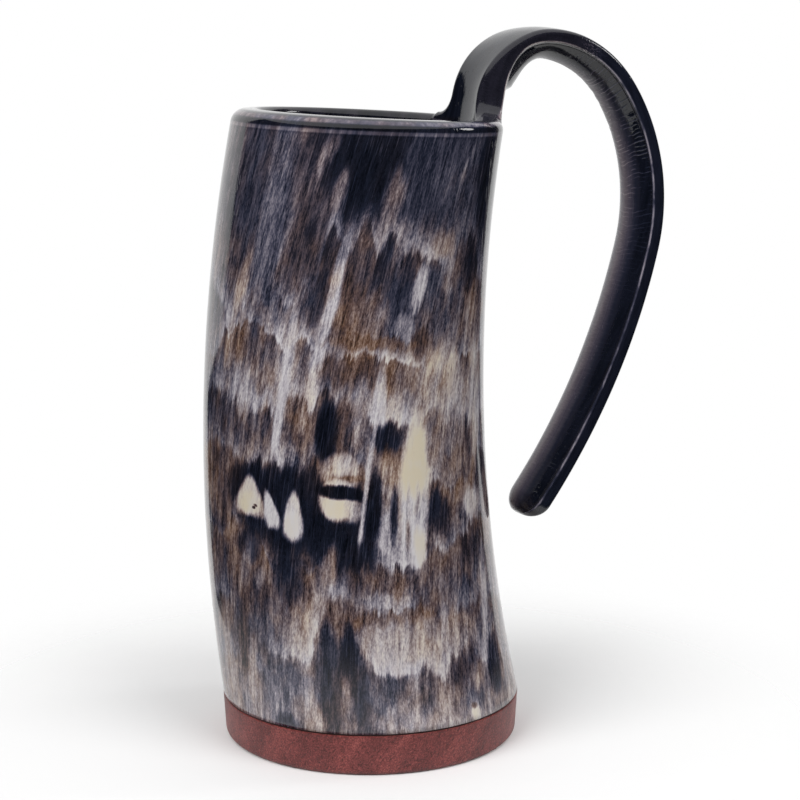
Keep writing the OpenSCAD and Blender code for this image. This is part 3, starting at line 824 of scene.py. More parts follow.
# %% Table of growth lines
# From the lowest line up; each point: mm right of the front line, mm above the foot, paleness, fade in mm
GROWTH_LINES = [
    [(-57, 12, .5, 9), (-44, 12, .45, 9), (-37, 16, .48, 9), (-33, 15, .5, 9), (-31, 17, .48, 9),
     (-28, 14, .6, 9), (-25, 12, .46, 9), (-22, 8, .48, 9), (-19, 9, .5, 9), (-16, 10, .48, 9),
     (-13, 7, .58, 9), (-10, 12, .42, 7), (-8, 24, .36, 6), (-5, 26, .52, 8), (-3, 27, .54, 8),
     (-1, 27, .56, 8), (.5, 25, .6, 8), (1.5, 23, .6, 8), (3, 19.6, .72, 9), (5, 16.4, .8, 11),
     (7, 15.4, .86, 12), (8.5, 15, .86, 12), (10, 14.6, .88, 12), (12, 14, .9, 11), (13, 14, .86, 10),
     (14.5, 15.8, .8, 9), (16, 15.6, .82, 9), (18, 14, .86, 9), (20, 12.8, .9, 9), (21.5, 14.6, .86, 9),
     (23, 16, .8, 10), (25, 18, .66, 8), (27, 19.5, .58, 8), (29, 21, .5, 8), (30.5, 19, .52, 8),
     (32, 16.5, .62, 8), (34, 14.5, .7, 8), (35, 14, .7, 8), (36.5, 17, .58, 8), (38, 20, .45, 8),
     (41, 22, .42, 8), (44, 16, .45, 9), (57, 12, .5, 9)],
    [(-57, 30, .5, 9), (-44, 30, .5, 9), (-40, 32, .48, 9), (-36, 30, .45, 8), (-33, 28, .45, 8),
     (-30, 24, .42, 8), (-27, 23, .4, 8), (-24, 21, .46, 8), (-21, 19.6, .58, 8), (-18, 19, .66, 9),
     (-16, 18.3, .74, 9), (-12.5, 17.8, .76, 9), (-11, 20.5, .8, 8), (-9.4, 25, .82, 7), (-7.8, 29, .84, 7),
     (-6, 32.5, .82, 6), (-4.6, 34.8, .8, 5), (-3.2, 35.6, .76, 5), (-1.8, 36, .74, 4), (-.5, 35.5, .6, 4),
     (1, 33, .5, 4), (2.5, 32.4, .56, 7), (4, 32, .6, 8), (6, 32, .62, 8), (7.5, 32.8, .56, 8),
     (9, 32, .62, 8), (11, 31.5, .64, 8), (13, 31.2, .64, 8), (14.5, 31.5, .56, 7), (16, 32.5, .5, 6),
     (18, 33, .42, 6), (20, 32, .42, 6), (22, 30, .48, 7), (24, 30.5, .52, 7), (26, 31.5, .42, 6),
     (28, 30, .5, 6), (31, 30.5, .45, 7), (34, 29, .52, 7), (36, 30, .52, 7), (40, 30, .55, 8),
     (44, 30, .5, 9), (57, 30, .5, 9)],
    [(-57, 50, .35, 8), (-44, 48, .35, 7), (-38, 47, .3, 6), (-35, 48, .3, 4), (-32, 51, .48, 1.6),
     (-30, 52, .58, 1.4), (-27, 52.4, .58, 1.4), (-24, 52, .58, 1.4), (-22.5, 50, .5, 1.6),
     (-21, 45, .42, 2), (-20, 42, .36, 4), (-18, 40, .26, 4), (-15, 41, .24, 4), (-12, 42, .28, 4),
     (-9, 42, .26, 4), (-6, 43, .32, 4), (-3, 43, .2, 4), (0, 42, .15, 4), (3, 41, .15, 5),
     (5.6, 42.5, .25, 8), (7, 43, .74, 12), (9, 43, .84, 14), (10.5, 43.6, .5, 7), (11.6, 43, .72, 11),
     (14, 42.6, .84, 13), (16, 42, .9, 15), (18, 42.2, .9, 15), (19.6, 43.5, .66, 9), (21, 45, .26, 6),
     (23, 46, .64, 7), (24.5, 45, .66, 7), (26, 45.5, .5, 7), (28, 47, .45, 6), (31, 47.5, .42, 6),
     (34, 48, .45, 7), (37, 50, .5, 8), (40, 50, .45, 8), (44, 50, .4, 8), (57, 50, .35, 8)],
    [(-57, 66, .5, 9), (-44, 68, .45, 8), (-38, 70, .42, 8), (-33, 70, .45, 8), (-31, 68.5, .5, 5),
     (-29, 67.2, .6, 4), (-27, 67.6, .54, 4), (-25, 66.8, .56, 4), (-22, 67.4, .54, 4), (-20, 68.4, .52, 4),
     (-18, 68, .58, 5), (-16.5, 67.5, .74, 9), (-15, 66.5, .62, 9), (-13, 66.2, .5, 8), (-11, 66.5, .46, 8),
     (-9, 66, .44, 7), (-7.5, 68, .35, 7), (-6, 69, .3, 7), (-2, 70, .3, 8), (3, 69, .36, 8),
     (5, 67, .42, 9), (7, 64, .52, 9), (8, 62.3, .64, 8), (10, 62, .66, 8), (12, 61.8, .66, 8),
     (14, 62, .62, 9), (20, 62, .6, 10), (22, 62.2, .62, 9), (24, 62.8, .62, 9), (26, 62.6, .56, 9),
     (28, 61.5, .46, 9), (30, 61, .46, 9), (33, 62, .44, 9), (36, 62, .36, 9), (40, 66, .5, 9),
     (44, 68, .5, 9), (57, 66, .5, 9)],
    [(-57, 80, .6, 10), (-47, 81, .4, 9), (-41, 82, .42, 9), (-37, 82, .66, 9), (-35, 80.5, .66, 9),
     (-33, 79.5, .64, 10), (-30, 80.5, .7, 11), (-28, 78, .74, 12), (-26, 78.5, .74, 12),
     (-24, 78.5, .72, 12), (-21, 79, .7, 11), (-19, 79, .72, 11), (-17, 80, .76, 12), (-15, 82, .78, 13),
     (-13, 83.5, .7, 11), (-11, 84, .64, 10), (-9, 82, .66, 11), (-7, 83, .72, 11), (-5.5, 86, .54, 7),
     (-4, 86.5, .42, 5), (-2, 84, .4, 5), (2, 82.5, .54, 7), (4, 81.5, .6, 8), (6, 80, .66, 8),
     (7.5, 78, .72, 9), (9, 77, .86, 9), (11, 77.2, .84, 8), (13, 77, .82, 8), (15, 77, .8, 9),
     (16, 78, .76, 10), (18, 77, .84, 11), (20, 78, .74, 11), (22, 79.5, .78, 12), (24, 80, .76, 12),
     (26, 79, .74, 12), (28, 79.5, .76, 12), (30, 79.6, .7, 11), (33, 79, .64, 10), (36, 77, .6, 9),
     (40, 76, .62, 9), (44, 77, .62, 10), (57, 80, .6, 10)],
    [(-57, 94, .5, 9), (-46, 91, .36, 9), (-40, 91, .44, 8), (-35, 98, .62, 8), (-33, 95, .7, 8),
     (-31, 99, .58, 7), (-28, 100, .52, 6), (-25, 101, .52, 6), (-22, 100, .5, 5), (-20, 98, .6, 7),
     (-17, 97, .66, 8), (-15, 95, .72, 9), (-12, 97, .64, 8), (-10, 99, .58, 7), (-8, 96, .62, 6),
     (-6, 95, .66, 5), (-4, 93.6, .58, 4), (-2, 93.2, .6, 2), (0, 93.6, .66, 1.5), (2, 94, .7, 1.3),
     (4, 94.4, .68, 1.1), (6, 93.8, .7, 1), (8, 93.2, .74, 1), (10, 92.6, .88, 1.3), (12, 92.5, .9, 1.6),
     (15, 92.5, .9, 2), (17, 92.2, .88, 2), (19, 91.7, .82, 2.5), (21, 89.8, .76, 5), (23, 89, .78, 6),
     (25, 89.5, .74, 6), (27, 90, .76, 6), (29, 89, .74, 7), (32, 90, .62, 8), (35, 93, .56, 8),
     (38, 92, .62, 8), (44, 92, .56, 9), (57, 94, .5, 9)],
    [(-57, 112, .45, 10), (-44, 107, .48, 9), (-38, 103, .55, 5), (-36, 102, .6, 6), (-33, 100, .66, 7),
     (-31, 104, .6, 6), (-28, 104.5, .6, 6), (-26, 108, .42, 6), (-24, 107, .3, 6), (-20, 105, .28, 6),
     (-18, 108.5, .42, 6), (-16, 105, .7, 8), (-14, 104, .74, 8), (-12, 107, .54, 8), (-9, 109, .38, 8),
     (-7, 118, .26, 7), (-5, 124, .54, 7), (-3, 121, .38, 6), (0, 119, .46, 5), (2, 124, .54, 5),
     (4, 125.5, .46, 5), (5.5, 121, .52, 5), (7, 118.5, .66, 7), (8.5, 122.5, .54, 6), (10, 123, .5, 5),
     (12, 119.5, .6, 6), (13.5, 118.6, .66, 6), (15, 118, .64, 7), (16.5, 119, .6, 6), (18, 117.3, .7, 5),
     (20, 116.7, .74, 4), (22, 118, .7, 4), (23, 118, .66, 4), (25, 115, .68, 5), (27, 113.6, .64, 5),
     (29, 115, .52, 6), (31, 122, .45, 6), (34, 121, .42, 6), (36, 121.5, .56, 6), (38, 120, .46, 6),
     (41, 113, .42, 7), (44, 110, .42, 8), (57, 112, .45, 10)],
]
print(len(GROWTH_LINES), "growth lines,", sum(len(line) for line in GROWTH_LINES), "points")

# %% [markdown]
# ## Marks in the horn
# Some clouds stand apart from the lines: a row of pale teeth, a half moon under a swirl, a long cream
# streak, blue haze near the rim. They are placed one by one on the unrolled wall, as a painter would:
# where, how large, how far they lean, how soft, how pale, how warm and how strongly they cover. Warm
# horn is brown, and a warmth below nought makes a mark lilac.

# %% Table of marks
# right of the front line, up from the foot, half width, half height (all mm), lean (degrees),
# softness, paleness, warmth, cover, share of the fibres' push, and how much it narrows upwards
MARKS = [
    # dark top, with haze and streaks, and a pale chip in the rim that also stands for a painted highlight
    (34, 148.6, 3, .7, 0, .5, .85, .5, .9, .05),
    (3, 140, 12, 11, 4, .6, .03, .1, .82, .8),
    (-31, 133, 6, 18, 3, .5, .22, .2, .8, .5),
    (-21, 137, 3, 14, 4, .7, .34, -.35, .85, .4),
    (-21, 121, 4.5, 11, 5, .7, .33, -.35, .85, .4),
    (16, 140, 5.5, 11, 4, .6, .21, -.35, .85, .5),
    (29, 136, 8, 14, 5, .6, .26, -.2, .85, .6),
    (42, 136, 6, 14, 2, .5, .05, 0, .88, .4),
    (30.3, 139, .9, 4, 22, .7, .48, .35, .75, .3),
    (-10.6, 136.5, 1.1, 6.5, 15, .7, .48, .75, .8, .4),
    (-7.6, 142.5, .9, 2.5, 15, .8, .4, .75, .7, .5),
    (-4.6, 132, 1.2, 4, 12, .8, .5, .75, .75, .6),
    (-13, 130, 2.4, 5, 10, .7, .17, .5, .65, .6),
    (9.5, 132, 2.2, 4.5, 14, .8, .44, .95, .75, .8),
    (25.3, 120.5, 3, 2.6, 0, .6, .58, .95, .75, .5),
    (-17.6, 117, .6, 7, 11, .7, .44, .1, .75, .2),
    (-30.5, 108, 1.5, 5, 10, .7, .62, .8, .8, .4),
    (-12.5, 117, 4, 9, 8, .7, .16, .7, .7, .8),
    # the leaning pale streak and the patches beside it
    (-2.1, 116.5, 1, 6.5, 12, .6, .62, -.05, .85, .4),
    (-3.4, 107, 1.4, 8, 12, .5, .74, -.05, .92, .3),
    (-3.2, 111, .8, 3, 12, .7, .52, .6, .75, .3),
    (-6.6, 92, 1.3, 9, 9, .6, .74, .35, .85, .5),
    (3.4, 111.5, 4, 6, 8, .6, .22, .4, .75, .8),
    (23, 106, 8, 7.5, 5, .7, .27, -.2, .75, .8),
    (8.6, 117, 1.8, 4.6, 10, .6, .08, 0, .88, .4),
    (12.2, 119, 1, 3, 14, .7, .6, .4, .75, .4),
    (14.8, 112, 1.5, 4, 10, .6, .1, -.1, .85, .4),
    (27, 112.5, 1.6, 3, 4, .7, .54, .2, .7, .4),
    (18.3, 109.6, 1.8, 4.6, 18, .6, .78, -.45, .92, .5),
    (10.5, 108, 4.5, 8, 8, .7, .18, -.25, .8, .9),
    (6.5, 104, 4, 4, 6, .7, .46, .55, .75, .9),
    (14.6, 100, 2.4, 2.4, 0, .8, .62, -.4, .8, .8),
    (19.5, 96.4, 1.8, 3, 4, .7, .16, .6, .8, .5),
    (36, 115, 3, 5, 4, .7, .1, .1, .8, .6),
    (36.3, 104.5, 1, 3, 4, .6, .58, .35, .8, .4),
    # light belt
    (-24.4, 96, 1.4, 4.5, 6, .7, .2, .1, .75, .5),
    (-28.5, 95, 3, 3.4, 6, .8, .3, .75, .75, .8),
    (-10.3, 95, 1.3, 2.4, 6, .7, .26, .5, .35, .5),
    (-10.8, 81.5, 1.6, 2.6, 6, .7, .26, .6, .6, .5),
    (-5, 97, 1.1, 4, 10, .6, .72, .1, .85, .3),
    (-.5, 84.5, 2, 2.5, 0, .8, .55, .6, .6, .6),
    (-14, 91, 1.2, 10, 5, .7, .78, .1, .78, .3),
    (-16, 78.5, 1, 9, 8, .6, .82, -.2, .9, .3),
    (1, 90.2, 5.5, 3.6, 4, .6, .26, .85, .85, .8),
    (8.4, 89, 3, 3, 0, .6, .26, .9, .8, .7),
    (14.5, 89, 4.5, 3, 4, .7, .4, .8, .75, .8),
    (9.2, 83, 1.2, 6, 4, .7, .8, -.2, .8, .5),
    (24, 91, 2.2, 2.8, 4, .7, .76, 1, .8, .5),
    (28.5, 87, 1.6, 5, 2, .7, .74, .95, .8, .5),
    (31, 91, 1.6, 3, 0, .7, .78, .8, .8, .5),
    (6, 96.8, 9, 1.3, 2, .7, .32, .95, .75, .5),
    (20, 86, 2.6, 6, 3, .8, .54, .95, .6, .6),
    # between belt and black field
    (-34, 78, 3, 4, 4, .7, .22, .4, .8, .7),
    (-24.5, 75.5, 2.2, 3.2, 4, .6, .24, .3, .8, .6),
    (-27.5, 82.5, 2.5, 4, 4, .8, .68, .3, .65, .7),
    (-20.5, 87, 1.5, 3, 4, .7, .3, .6, .7, .6),
    (-25.5, 76.5, 6, 3.4, 4, .7, .34, .65, .55, .9),
    (-10.5, 78, 2.4, 4.5, 6, .7, .24, .7, .8, .7),
    (-9.8, 78, .9, 3, 8, .7, .6, .8, .8, .4),
    (-3.6, 75.5, 2.7, 7.2, 4, .35, .03, .1, .96, .35),
    (.4, 77, 1.9, 6, 5, .7, .24, .7, .8, .7),
    (4.2, 79.5, 1.5, 6.5, 7, .7, .62, .5, .8, .5),
    (11, 74, 3.3, 3.6, 3, .4, .08, .1, .95, .4),
    (11.6, 70.3, 2.6, 1.6, 0, .6, .22, .85, .75, .6),
    (11.6, 66.5, 2.4, 3.4, 2, .7, .48, .95, .8, .6),
    (29, 72, 5, 6, 3, .8, .52, .45, .8, .9),
    (31, 83, 5, 6, 3, .8, .72, .65, .75, .9),
    (37, 71, 1, 5, 2, .6, .2, .2, .7, .5),
    (41.5, 81, 3, 11, 0, .7, .76, .45, .85, .5),
    # black field with swirl, half moon and teeth
    (-11, 56, 18, 10.3, 1, .35, .07, .05, .95, .7),
    (-24.4, 59.8, 8.2, 6.8, 0, .35, .07, .05, .94, .7),
    (-34.5, 60, 2.5, 8, 4, .7, .26, .15, .78, .6),
    (6.9, 57, 1.9, 10, 7, .4, .05, .1, .92, .4),
    (10.6, 50, 1.9, 7.5, 3, .6, .72, -.25, .88, .5),
    (11.9, 54.5, .8, 6.5, 4, .6, .2, 0, .8, .3),
    (12.4, 57.5, .8, 5, 4, .6, .18, 0, .8, .3),
    (-7.2, 106.5, 1.8, 5, 12, .6, .14, .3, .88, .5),
    (24.6, 54.3, 2.8, 5.2, 3, .5, .1, .1, .9, .5),
    (21.9, 67, 1.4, 7, 4, .7, .56, .35, .7, .5),
    (-.5, 65.8, 4.5, 4.4, 0, .3, .58, .5, .97, .2),
    (.6, 67.8, 1.8, 2, 0, .7, .76, .25, .8, .15),
    (.8, 64.2, 3.4, .9, -4, .6, .38, 1, .85, .1),
    (.6, 65.9, 2.4, .8, -4, .8, .74, .5, .8, .1),
    (-1.5, 59.3, 4.3, 4.9, 5, .18, .84, .45, 1, .12),
    (-.8, 57.2, 3.2, 2.6, 5, .7, .95, .75, .9, .12),
    (2.4, 57.6, 1.5, 2.8, 0, .8, .62, .6, .7, .1),
    (-.4, 60.9, 7, 1.6, 6, .3, .04, .1, .98, .12),
    (-24.9, 58.3, 3.5, 4.8, 3, .25, .84, .6, 1, .1, .64),
    (-25, 56.4, 2.4, 2.4, -20, .6, .93, .8, .9, .1),
    (-23.6, 55.4, .45, .35, 0, .5, .1, .8, .9, 0),
    (-23.1, 56, .5, .3, 20, .5, .16, .8, .85, 0),
    (-18.7, 55.6, 1.7, 4.3, -12, .3, .84, -.2, 1, .1, .45),
    (-12.6, 54.6, 2.2, 5.8, 5, .25, .82, .4, 1, .1, .42),
    (-13, 52.4, 1.5, 2.7, 4, .6, .97, .55, .9, .1),
    # the long cream streak and the hair line beside the swirl
    (18.4, 69, 2.9, 9.5, 5, .4, .93, .95, 1, .3),
    (17.4, 54.5, 3.3, 11, 4, .45, .8, -.2, .95, .4),
    (18.1, 63.8, 3.7, 4, 4, .6, .97, .8, .95, .4),
    (15.6, 54, .5, 8, 4, .6, .68, .1, .7, .3),
    (18.2, 55, .6, 6, 4, .7, .64, .1, .65, .3),
    (15.2, 47.5, .7, 4.5, 3, .6, .5, .6, .8, .2),
    (18.2, 47, 1.5, 4.2, 3, .6, .96, .75, .9, .2),
    (5.9, 64, .5, 17, 9.5, .7, .74, .05, .85, .12),
    (3.3, 48.5, .5, 4, 8, .7, .74, .05, .8, .12),
    (37.3, 55, 3.2, 3.4, -10, .6, .8, .15, .9, .4),
    # clouds above the foot
    (4, 39.5, 7, 3, 0, .7, .18, .45, .7, .9),
    (.5, 45, 6.5, 3.6, 0, .6, .06, .1, .85, .7),
    (-25, 31, 7, 9, 4, .8, .28, .4, .5, .9),
    (21, 34.5, 4.5, 3.6, 0, .8, .22, .35, .6, .9),
    (17, 2.5, 12, 3.2, 0, .8, .62, .2, .7, .9),
    (-24, 4, 9, 5, 0, .8, .58, .25, .65, .9),
    (-26.5, 45.3, 3.6, 3.4, 0, .5, .16, .1, .9, .5),
    (-27.6, 39, 1.2, 6, 12, .7, .5, .2, .75, .6),
    (-22.8, 38.3, 1.2, 2, 20, .7, .54, .4, .75, .4),
    (-33.5, 44, 1, 8, 6, .7, .46, .85, .7, .5),
    (-15, 39.5, 3, 6, 5, .7, .1, .1, .8, .7),
    (-4.6, 42, 1.2, 4.6, 14, .8, .5, .85, .8, .6),
    (10.5, 38.6, 6, 2.2, 2, .7, .34, .75, .65, .9),
    (-3, 30.5, 4, 4.4, 0, .6, .3, .7, .85, .6),
    (9, 29.6, 8, 1.4, 0, .7, .34, .95, .8, .7),
    (10, 22.5, 8, 4.5, 0, .8, .72, .62, .65, .7),
    (-2, 20.5, 1.8, 7, 6, .5, .05, 0, .9, .5),
    (-7.5, 12.5, 2.6, 12, 5, .6, .15, .1, .86, .6),
    (-3.6, 7, .7, 8, 8, .7, .42, .3, .75, .3),
    (27, 14.6, 5.4, 3.2, -38, .7, .17, .08, .84, .6),
    (-.6, 11, 1.8, 9, 4, .6, .14, .1, .86, .6),
    (6, 11, 4.2, 3.2, 4, .7, .32, .12, .72, .8),
    (7.6, 2.8, 3.6, 3.4, 0, .7, .58, .15, .7, .8),
    (23.4, 6, 3, 3, 0, .7, .32, .2, .7, .7),
    (15.4, 9.5, 2.2, 4.8, 4, .7, .25, .12, .72, .7),
    (11.6, 8, .8, 6, 6, .8, .56, .35, .7, .4),
    (38.6, 12, 2.6, 6, 4, .6, .15, .1, .85, .5),
    (22.6, 24, .8, 7, 6, .8, .66, .2, .7, .3),
    (38.8, 30, 1.4, 11, 10, .7, .68, .2, .85, .3),
    (-29, 10, 1.2, 9, 8, .7, .64, .45, .8, .4),
    (-30.5, 22, 1.6, 8, 8, .7, .22, .9, .7, .5),
    (-13.6, 8, 1.2, 7, 6, .8, .58, .4, .6, .5),
    (-19, 12, 2, 4, 8, .8, .34, .2, .65, .6),
    (-20, 1, 3.2, 2.2, 20, .6, .12, 0, .8, .4),
    (28, 1.8, 1.3, 1.9, 10, .6, .88, .85, .95, .25),
    (27.8, 3.8, .8, .7, 20, .7, .2, 1, .85, .1),
    (19, 3, .9, 4.5, 10, .7, .66, .4, .75, .4),
]
print(len(MARKS), "marks on the unrolled wall")

# %% [markdown]
# ## Polished horn
# The colour is built in steps: growth lines, marks over them, fine streaks, the dark rim, the handle,
# and then two colour ramps, a cool and a warm one. Lines and marks are looked up at a height that every
# fibre pushes up or down a little, which makes all edges ragged along the fibres. Round the back the
# drawn lines end and slow noise bends them instead. The handle is dense dark horn, browner where the saw
# went through.

# %% Horn finish: growth lines
DRAWN_HALF, TOP_LEVEL, LONGEST_FADE = 57.0, 150.0, 20.0
BACK_FROM, BACK_TO, BACK_BEND = 40.0, 66.0, 60.0
LINE_SOFTNESS = (2.2, 2.0, 1.2, 1.8, 2.0, 0.9, 2.2)
FADE_MORE, FRINGE, RIPPLE = 1.35, 1.6, 2.9
bench, shader, object_place = finish_of(horn_finish)


def value_of(bench, name, out=2):
    return bench.node("ShaderNodeAttribute", out=out, attribute_name=name)


def growth_curve(bench, reach, line):
    """A curve node that turns the way round the wall into (height, paleness, fade) of one line."""
    made = bench.node("ShaderNodeVectorCurve", None, reach, out=None)
    made.mapping.extend = "HORIZONTAL"
    scaled = [(x / DRAWN_HALF, 2 * z / TOP_LEVEL - 1, pale, fade / LONGEST_FADE)
              for x, z, pale, fade in line]
    across, *heights = zip(*scaled)
    for curve, values in zip(made.mapping.curves, heights):
        pairs = list(zip(across, values))
        curve.points[0].location, curve.points[1].location = pairs[0], pairs[-1]
        for pair in pairs[1:-1]:
            curve.points.new(*pair)
        for point in curve.points:
            point.handle_type = "AUTO_CLAMPED"
    made.mapping.update()
    return bench.parts(made.outputs[0])


grain = value_of(bench, "grain_place", 1)
streaks = group(bench, fibre_streaks, Place=grain, Fibres_per_mm=2.6, Fibre_length=7.0, Push=6.0)
flat_map = bench.node("ShaderNodeUVMap", uv_map="unrolled")
map_x, map_y, _ = bench.parts(flat_map)
way_round = bench.over(map_x, DRAWN_HALF)
reach = bench.join(way_round, way_round, way_round)
round_back = bench.between(bench.math("ABSOLUTE", map_x), BACK_FROM, BACK_TO)
slow_wave = bench.minus(bench.long_noise(grain, (0.055, 0.055, 0.012), 2.0), 0.5)
bent = bench.times(bench.times(slow_wave, round_back), BACK_BEND)
level_here = bench.plus(bench.plus(map_y, streaks["Push"]), bent)
clouds = bench.long_noise(grain, (0.10, 0.10, 0.05), 3.0, 0.65)
near_rim = bench.between(map_y, 108.0, 134.0, 1.0, 0.75)
ground = bench.times(bench.between(clouds, 0.30, 0.68, 0.06, 0.44), near_rim)
back_noise = bench.long_noise(grain, (0.05, 0.05, 0.022), 3.0, 0.6)
back_clouds = bench.times(bench.between(back_noise, 0.36, 0.64, -0.24, 0.20), round_back)
tone = bench.join(bench.plus(ground, 0.14), 0.4, 0.0)
for line, soft in zip(GROWTH_LINES, LINE_SOFTNESS):
    level, paleness, fade = growth_curve(bench, reach, line)
    above = bench.minus(level_here, bench.times_plus(level, TOP_LEVEL / 2, TOP_LEVEL / 2))
    over = bench.larger(above, 0.0)
    slow_fall = bench.math("EXPONENT", bench.over(over, bench.times(fade, -LONGEST_FADE * FADE_MORE)))
    quick_fall = bench.math("EXPONENT", bench.over(over, -FRINGE))
    left = bench.times_plus(quick_fall, 0.10, slow_fall)
    ripple = bench.times(bench.math("SINE", bench.times(over, RIPPLE)), bench.times(slow_fall, 0.045))
    layer_pale = bench.times_plus(bench.minus(paleness, ground), left, bench.plus(ground, ripple))
    layer = bench.join(layer_pale, bench.times_plus(left, -0.64, 0.76), 0.0)
    tone = bench.blend_as("VECTOR", bench.between(above, -soft, 0.8 * soft), tone, layer)
print("growth lines:", len(bench.tree.nodes), "nodes")

# %% Horn finish: marks
PUSH_ON_MARKS = 1.5
push_vectors = {}
painted = (0.0, 0.0, 0.0)
for place_x, place_y, wide_half, high_half, lean, soft, pale, warm, cover, pushing, *taper in MARKS:
    if pushing not in push_vectors:
        shift = bench.join(0.0, bench.times(streaks["Push"], PUSH_ON_MARKS * pushing), 0.0)
        push_vectors[pushing] = bench.vector("ADD", flat_map, shift)
    sine, cosine = math.sin(math.radians(lean)), math.cos(math.radians(lean))
    away = bench.vector("SUBTRACT", push_vectors[pushing], (place_x, place_y, 0.0))
    right = bench.vector("DOT_PRODUCT", away, (cosine / wide_half, -sine / wide_half, 0.0))
    upward = bench.vector("DOT_PRODUCT", away, (sine / high_half, cosine / high_half, 0.0))
    if taper:
        right = bench.times(right, bench.times_plus(upward, taper[0], 1.0))
    far = bench.times_plus(right, right, bench.times(upward, upward))
    inside = bench.between(far, (1.0 - soft) ** 2, (1.0 + soft) ** 2, cover, 0.0)
    painted = bench.blend_as("VECTOR", inside, painted, (pale, warm, 1.0))
pale_mark, warm_mark, covered = bench.parts(painted)
pale_line, warm_line, _ = bench.parts(tone)
uncovered = bench.rest_of(covered)
pale = bench.times_plus(bench.plus(pale_line, back_clouds), uncovered, pale_mark)
warm = bench.times_plus(warm_line, uncovered, warm_mark)
print("with marks:", len(bench.tree.nodes), "nodes")

# %% Horn finish: streaks
FINE_SHARE, BROAD_SHARE, FLECK_SHARE, CONTRAST, DARKER = 0.13, 0.11, 0.10, 1.12, -0.012
BROWN_BELOW, GREY_ABOVE = 106.0, 130.0
fine, broad, fleck = (bench.between(streaks[n], 0.28, 0.72, -1.0, 1.0) for n in ("Fine", "Broad", "Fleck"))
streaky = bench.times_plus(broad, BROAD_SHARE, bench.times(fleck, FLECK_SHARE))
streaky = bench.times_plus(fine, FINE_SHARE, streaky)
not_black, not_white = bench.between(pale, 0.0, 0.40, 0.16, 1.0), bench.between(pale, 0.70, 0.95, 1.0, 0.35)
pale = bench.times_plus(streaky, bench.times(not_black, not_white), pale)
pale = bench.times_plus(pale, CONTRAST, DARKER)
hair_lines = bench.between(bench.long_noise(grain, (2.6, 2.6, 0.10), 1.0, 0.5), 0.56, 0.70)
pale = bench.times_plus(hair_lines, bench.between(pale, 0.10, 0.60, 0.13, 0.05), pale)
tint = bench.long_noise(grain, (0.30, 0.30, 0.12), 3.0, 0.65)
stain = bench.plus(bench.between(tint, 0.3, 0.7, -0.18, 0.18), bench.between(clouds, 0.3, 0.7, -0.30, 0.30))
brownness = bench.between(map_y, BROWN_BELOW, GREY_ABOVE, 1.0, 0.45)
warm = bench.times(bench.plus(stain, warm), brownness, clamp=True)
print("with streaks:", len(bench.tree.nodes), "nodes")

# %% Horn finish: rim
RIM_DARK_FROM, RIM_DARK_TO, ARRIS_HALF = 144.5, 147.0, 0.2
RIM_ARRISES = ((145.9, 0.7, 0.26), (148.3, 0.8, 0.34))
way = value_of(bench, "handle_gone")
pale = bench.times(pale, bench.between(map_y, RIM_DARK_FROM, RIM_DARK_TO, 1.0, 0.30))
# Pale lines on the rim's two arrises: partly sanded edges, partly painted highlights.
low_arris, top_arris = (
    bench.between(bench.math("ABSOLUTE", bench.minus(map_y, at)), ARRIS_HALF, faded_by, bright, 0.0)
    for at, faded_by, bright in RIM_ARRISES)
sanded_rim_and_glint = bench.times(value_of(bench, "outside"), bench.between(way, 0.0, 0.8, 1.0, 0.0))
sanded_rim_and_glint = bench.times(sanded_rim_and_glint, bench.plus(low_arris, top_arris))
pale = bench.times_plus(sanded_rim_and_glint, bench.times_plus(broad, 0.25, 1.0), pale)
print("with rim:", len(bench.tree.nodes), "nodes")

# %% Horn finish: handle
HORN_BLACK, CUT_SIDE_SHEEN, DULL_SHEEN_PALE = 0.05, 0.035, 0.44
across, cut_side, handle_back = (value_of(bench, n) for n in ("across_handle", "cut_side", "handle_back"))


def stretch_of_handle(rise, fall, least=0.0):
    """1 on a stretch of the handle that begins and ends softly; rise and fall are (from, to) in mm."""
    return bench.times(bench.between(way, *rise), bench.between(way, *fall, 1.0, least))


on_handle = bench.between(way, 0.0, 1.0)
inner_face = bench.times(bench.rest_of(cut_side), bench.rest_of(handle_back))
grip_face = bench.times(inner_face, bench.between(way, 14.0, 40.0))
rasp = bench.long_noise(grain, (0.5, 0.5, 2.4), 3.0, 0.6, 0.5)
hatch = bench.between(rasp, 0.40, 0.64)
dull_edge = bench.times_plus(bench.minus(streaks["Broad"], 0.5), 0.15, across)
# The middle of the grip's inner face is sanded dull, and it is painted paler as a sheen that fades towards its
# edges.
dull_and_sheen = bench.times(grip_face, bench.between(dull_edge, -0.05, 0.85, 1.0, 0.0))
sawn = bench.times(cut_side, bench.between(way, 34.0, 50.0, 1.0, 0.0))
# The cut sides are lifted a little as a painted sheen.
handle_pale = bench.times_plus(cut_side, CUT_SIDE_SHEEN, bench.times_plus(broad, 0.03, HORN_BLACK))
handle_pale = bench.times_plus(dull_and_sheen, bench.times_plus(hatch, 0.05, DULL_SHEEN_PALE), handle_pale)
handle_pale = bench.times_plus(sawn, bench.times(hatch, 0.03), handle_pale)
print("with handle:", len(bench.tree.nodes), "nodes")

# %% Horn finish: wear, painted highlights and folds on the handle
WEAR_AND_GLINT_PALE, FOLD_HIGHLIGHT_PALE, FOLDS_PER_MM = 0.62, 0.22, 0.8
broken = bench.between(bench.long_noise(grain, (0.3, 0.3, 0.10), 3.0, 0.65), 0.36, 0.60, 0.25, 1.0)
scuff = bench.times(stretch_of_handle((36.0, 40.0), (41.0, 47.0)), bench.between(streaks["Fleck"], 0.46, 0.62))
# A broken pale line along the handle's edge corners: partly wear, partly a painted highlight. The scuffs near
# the crest are wear.
wear_and_glint = bench.times(bench.math("POWER", value_of(bench, "glinting_worn_corner"), 2.5), bench.plus(broken, scuff))
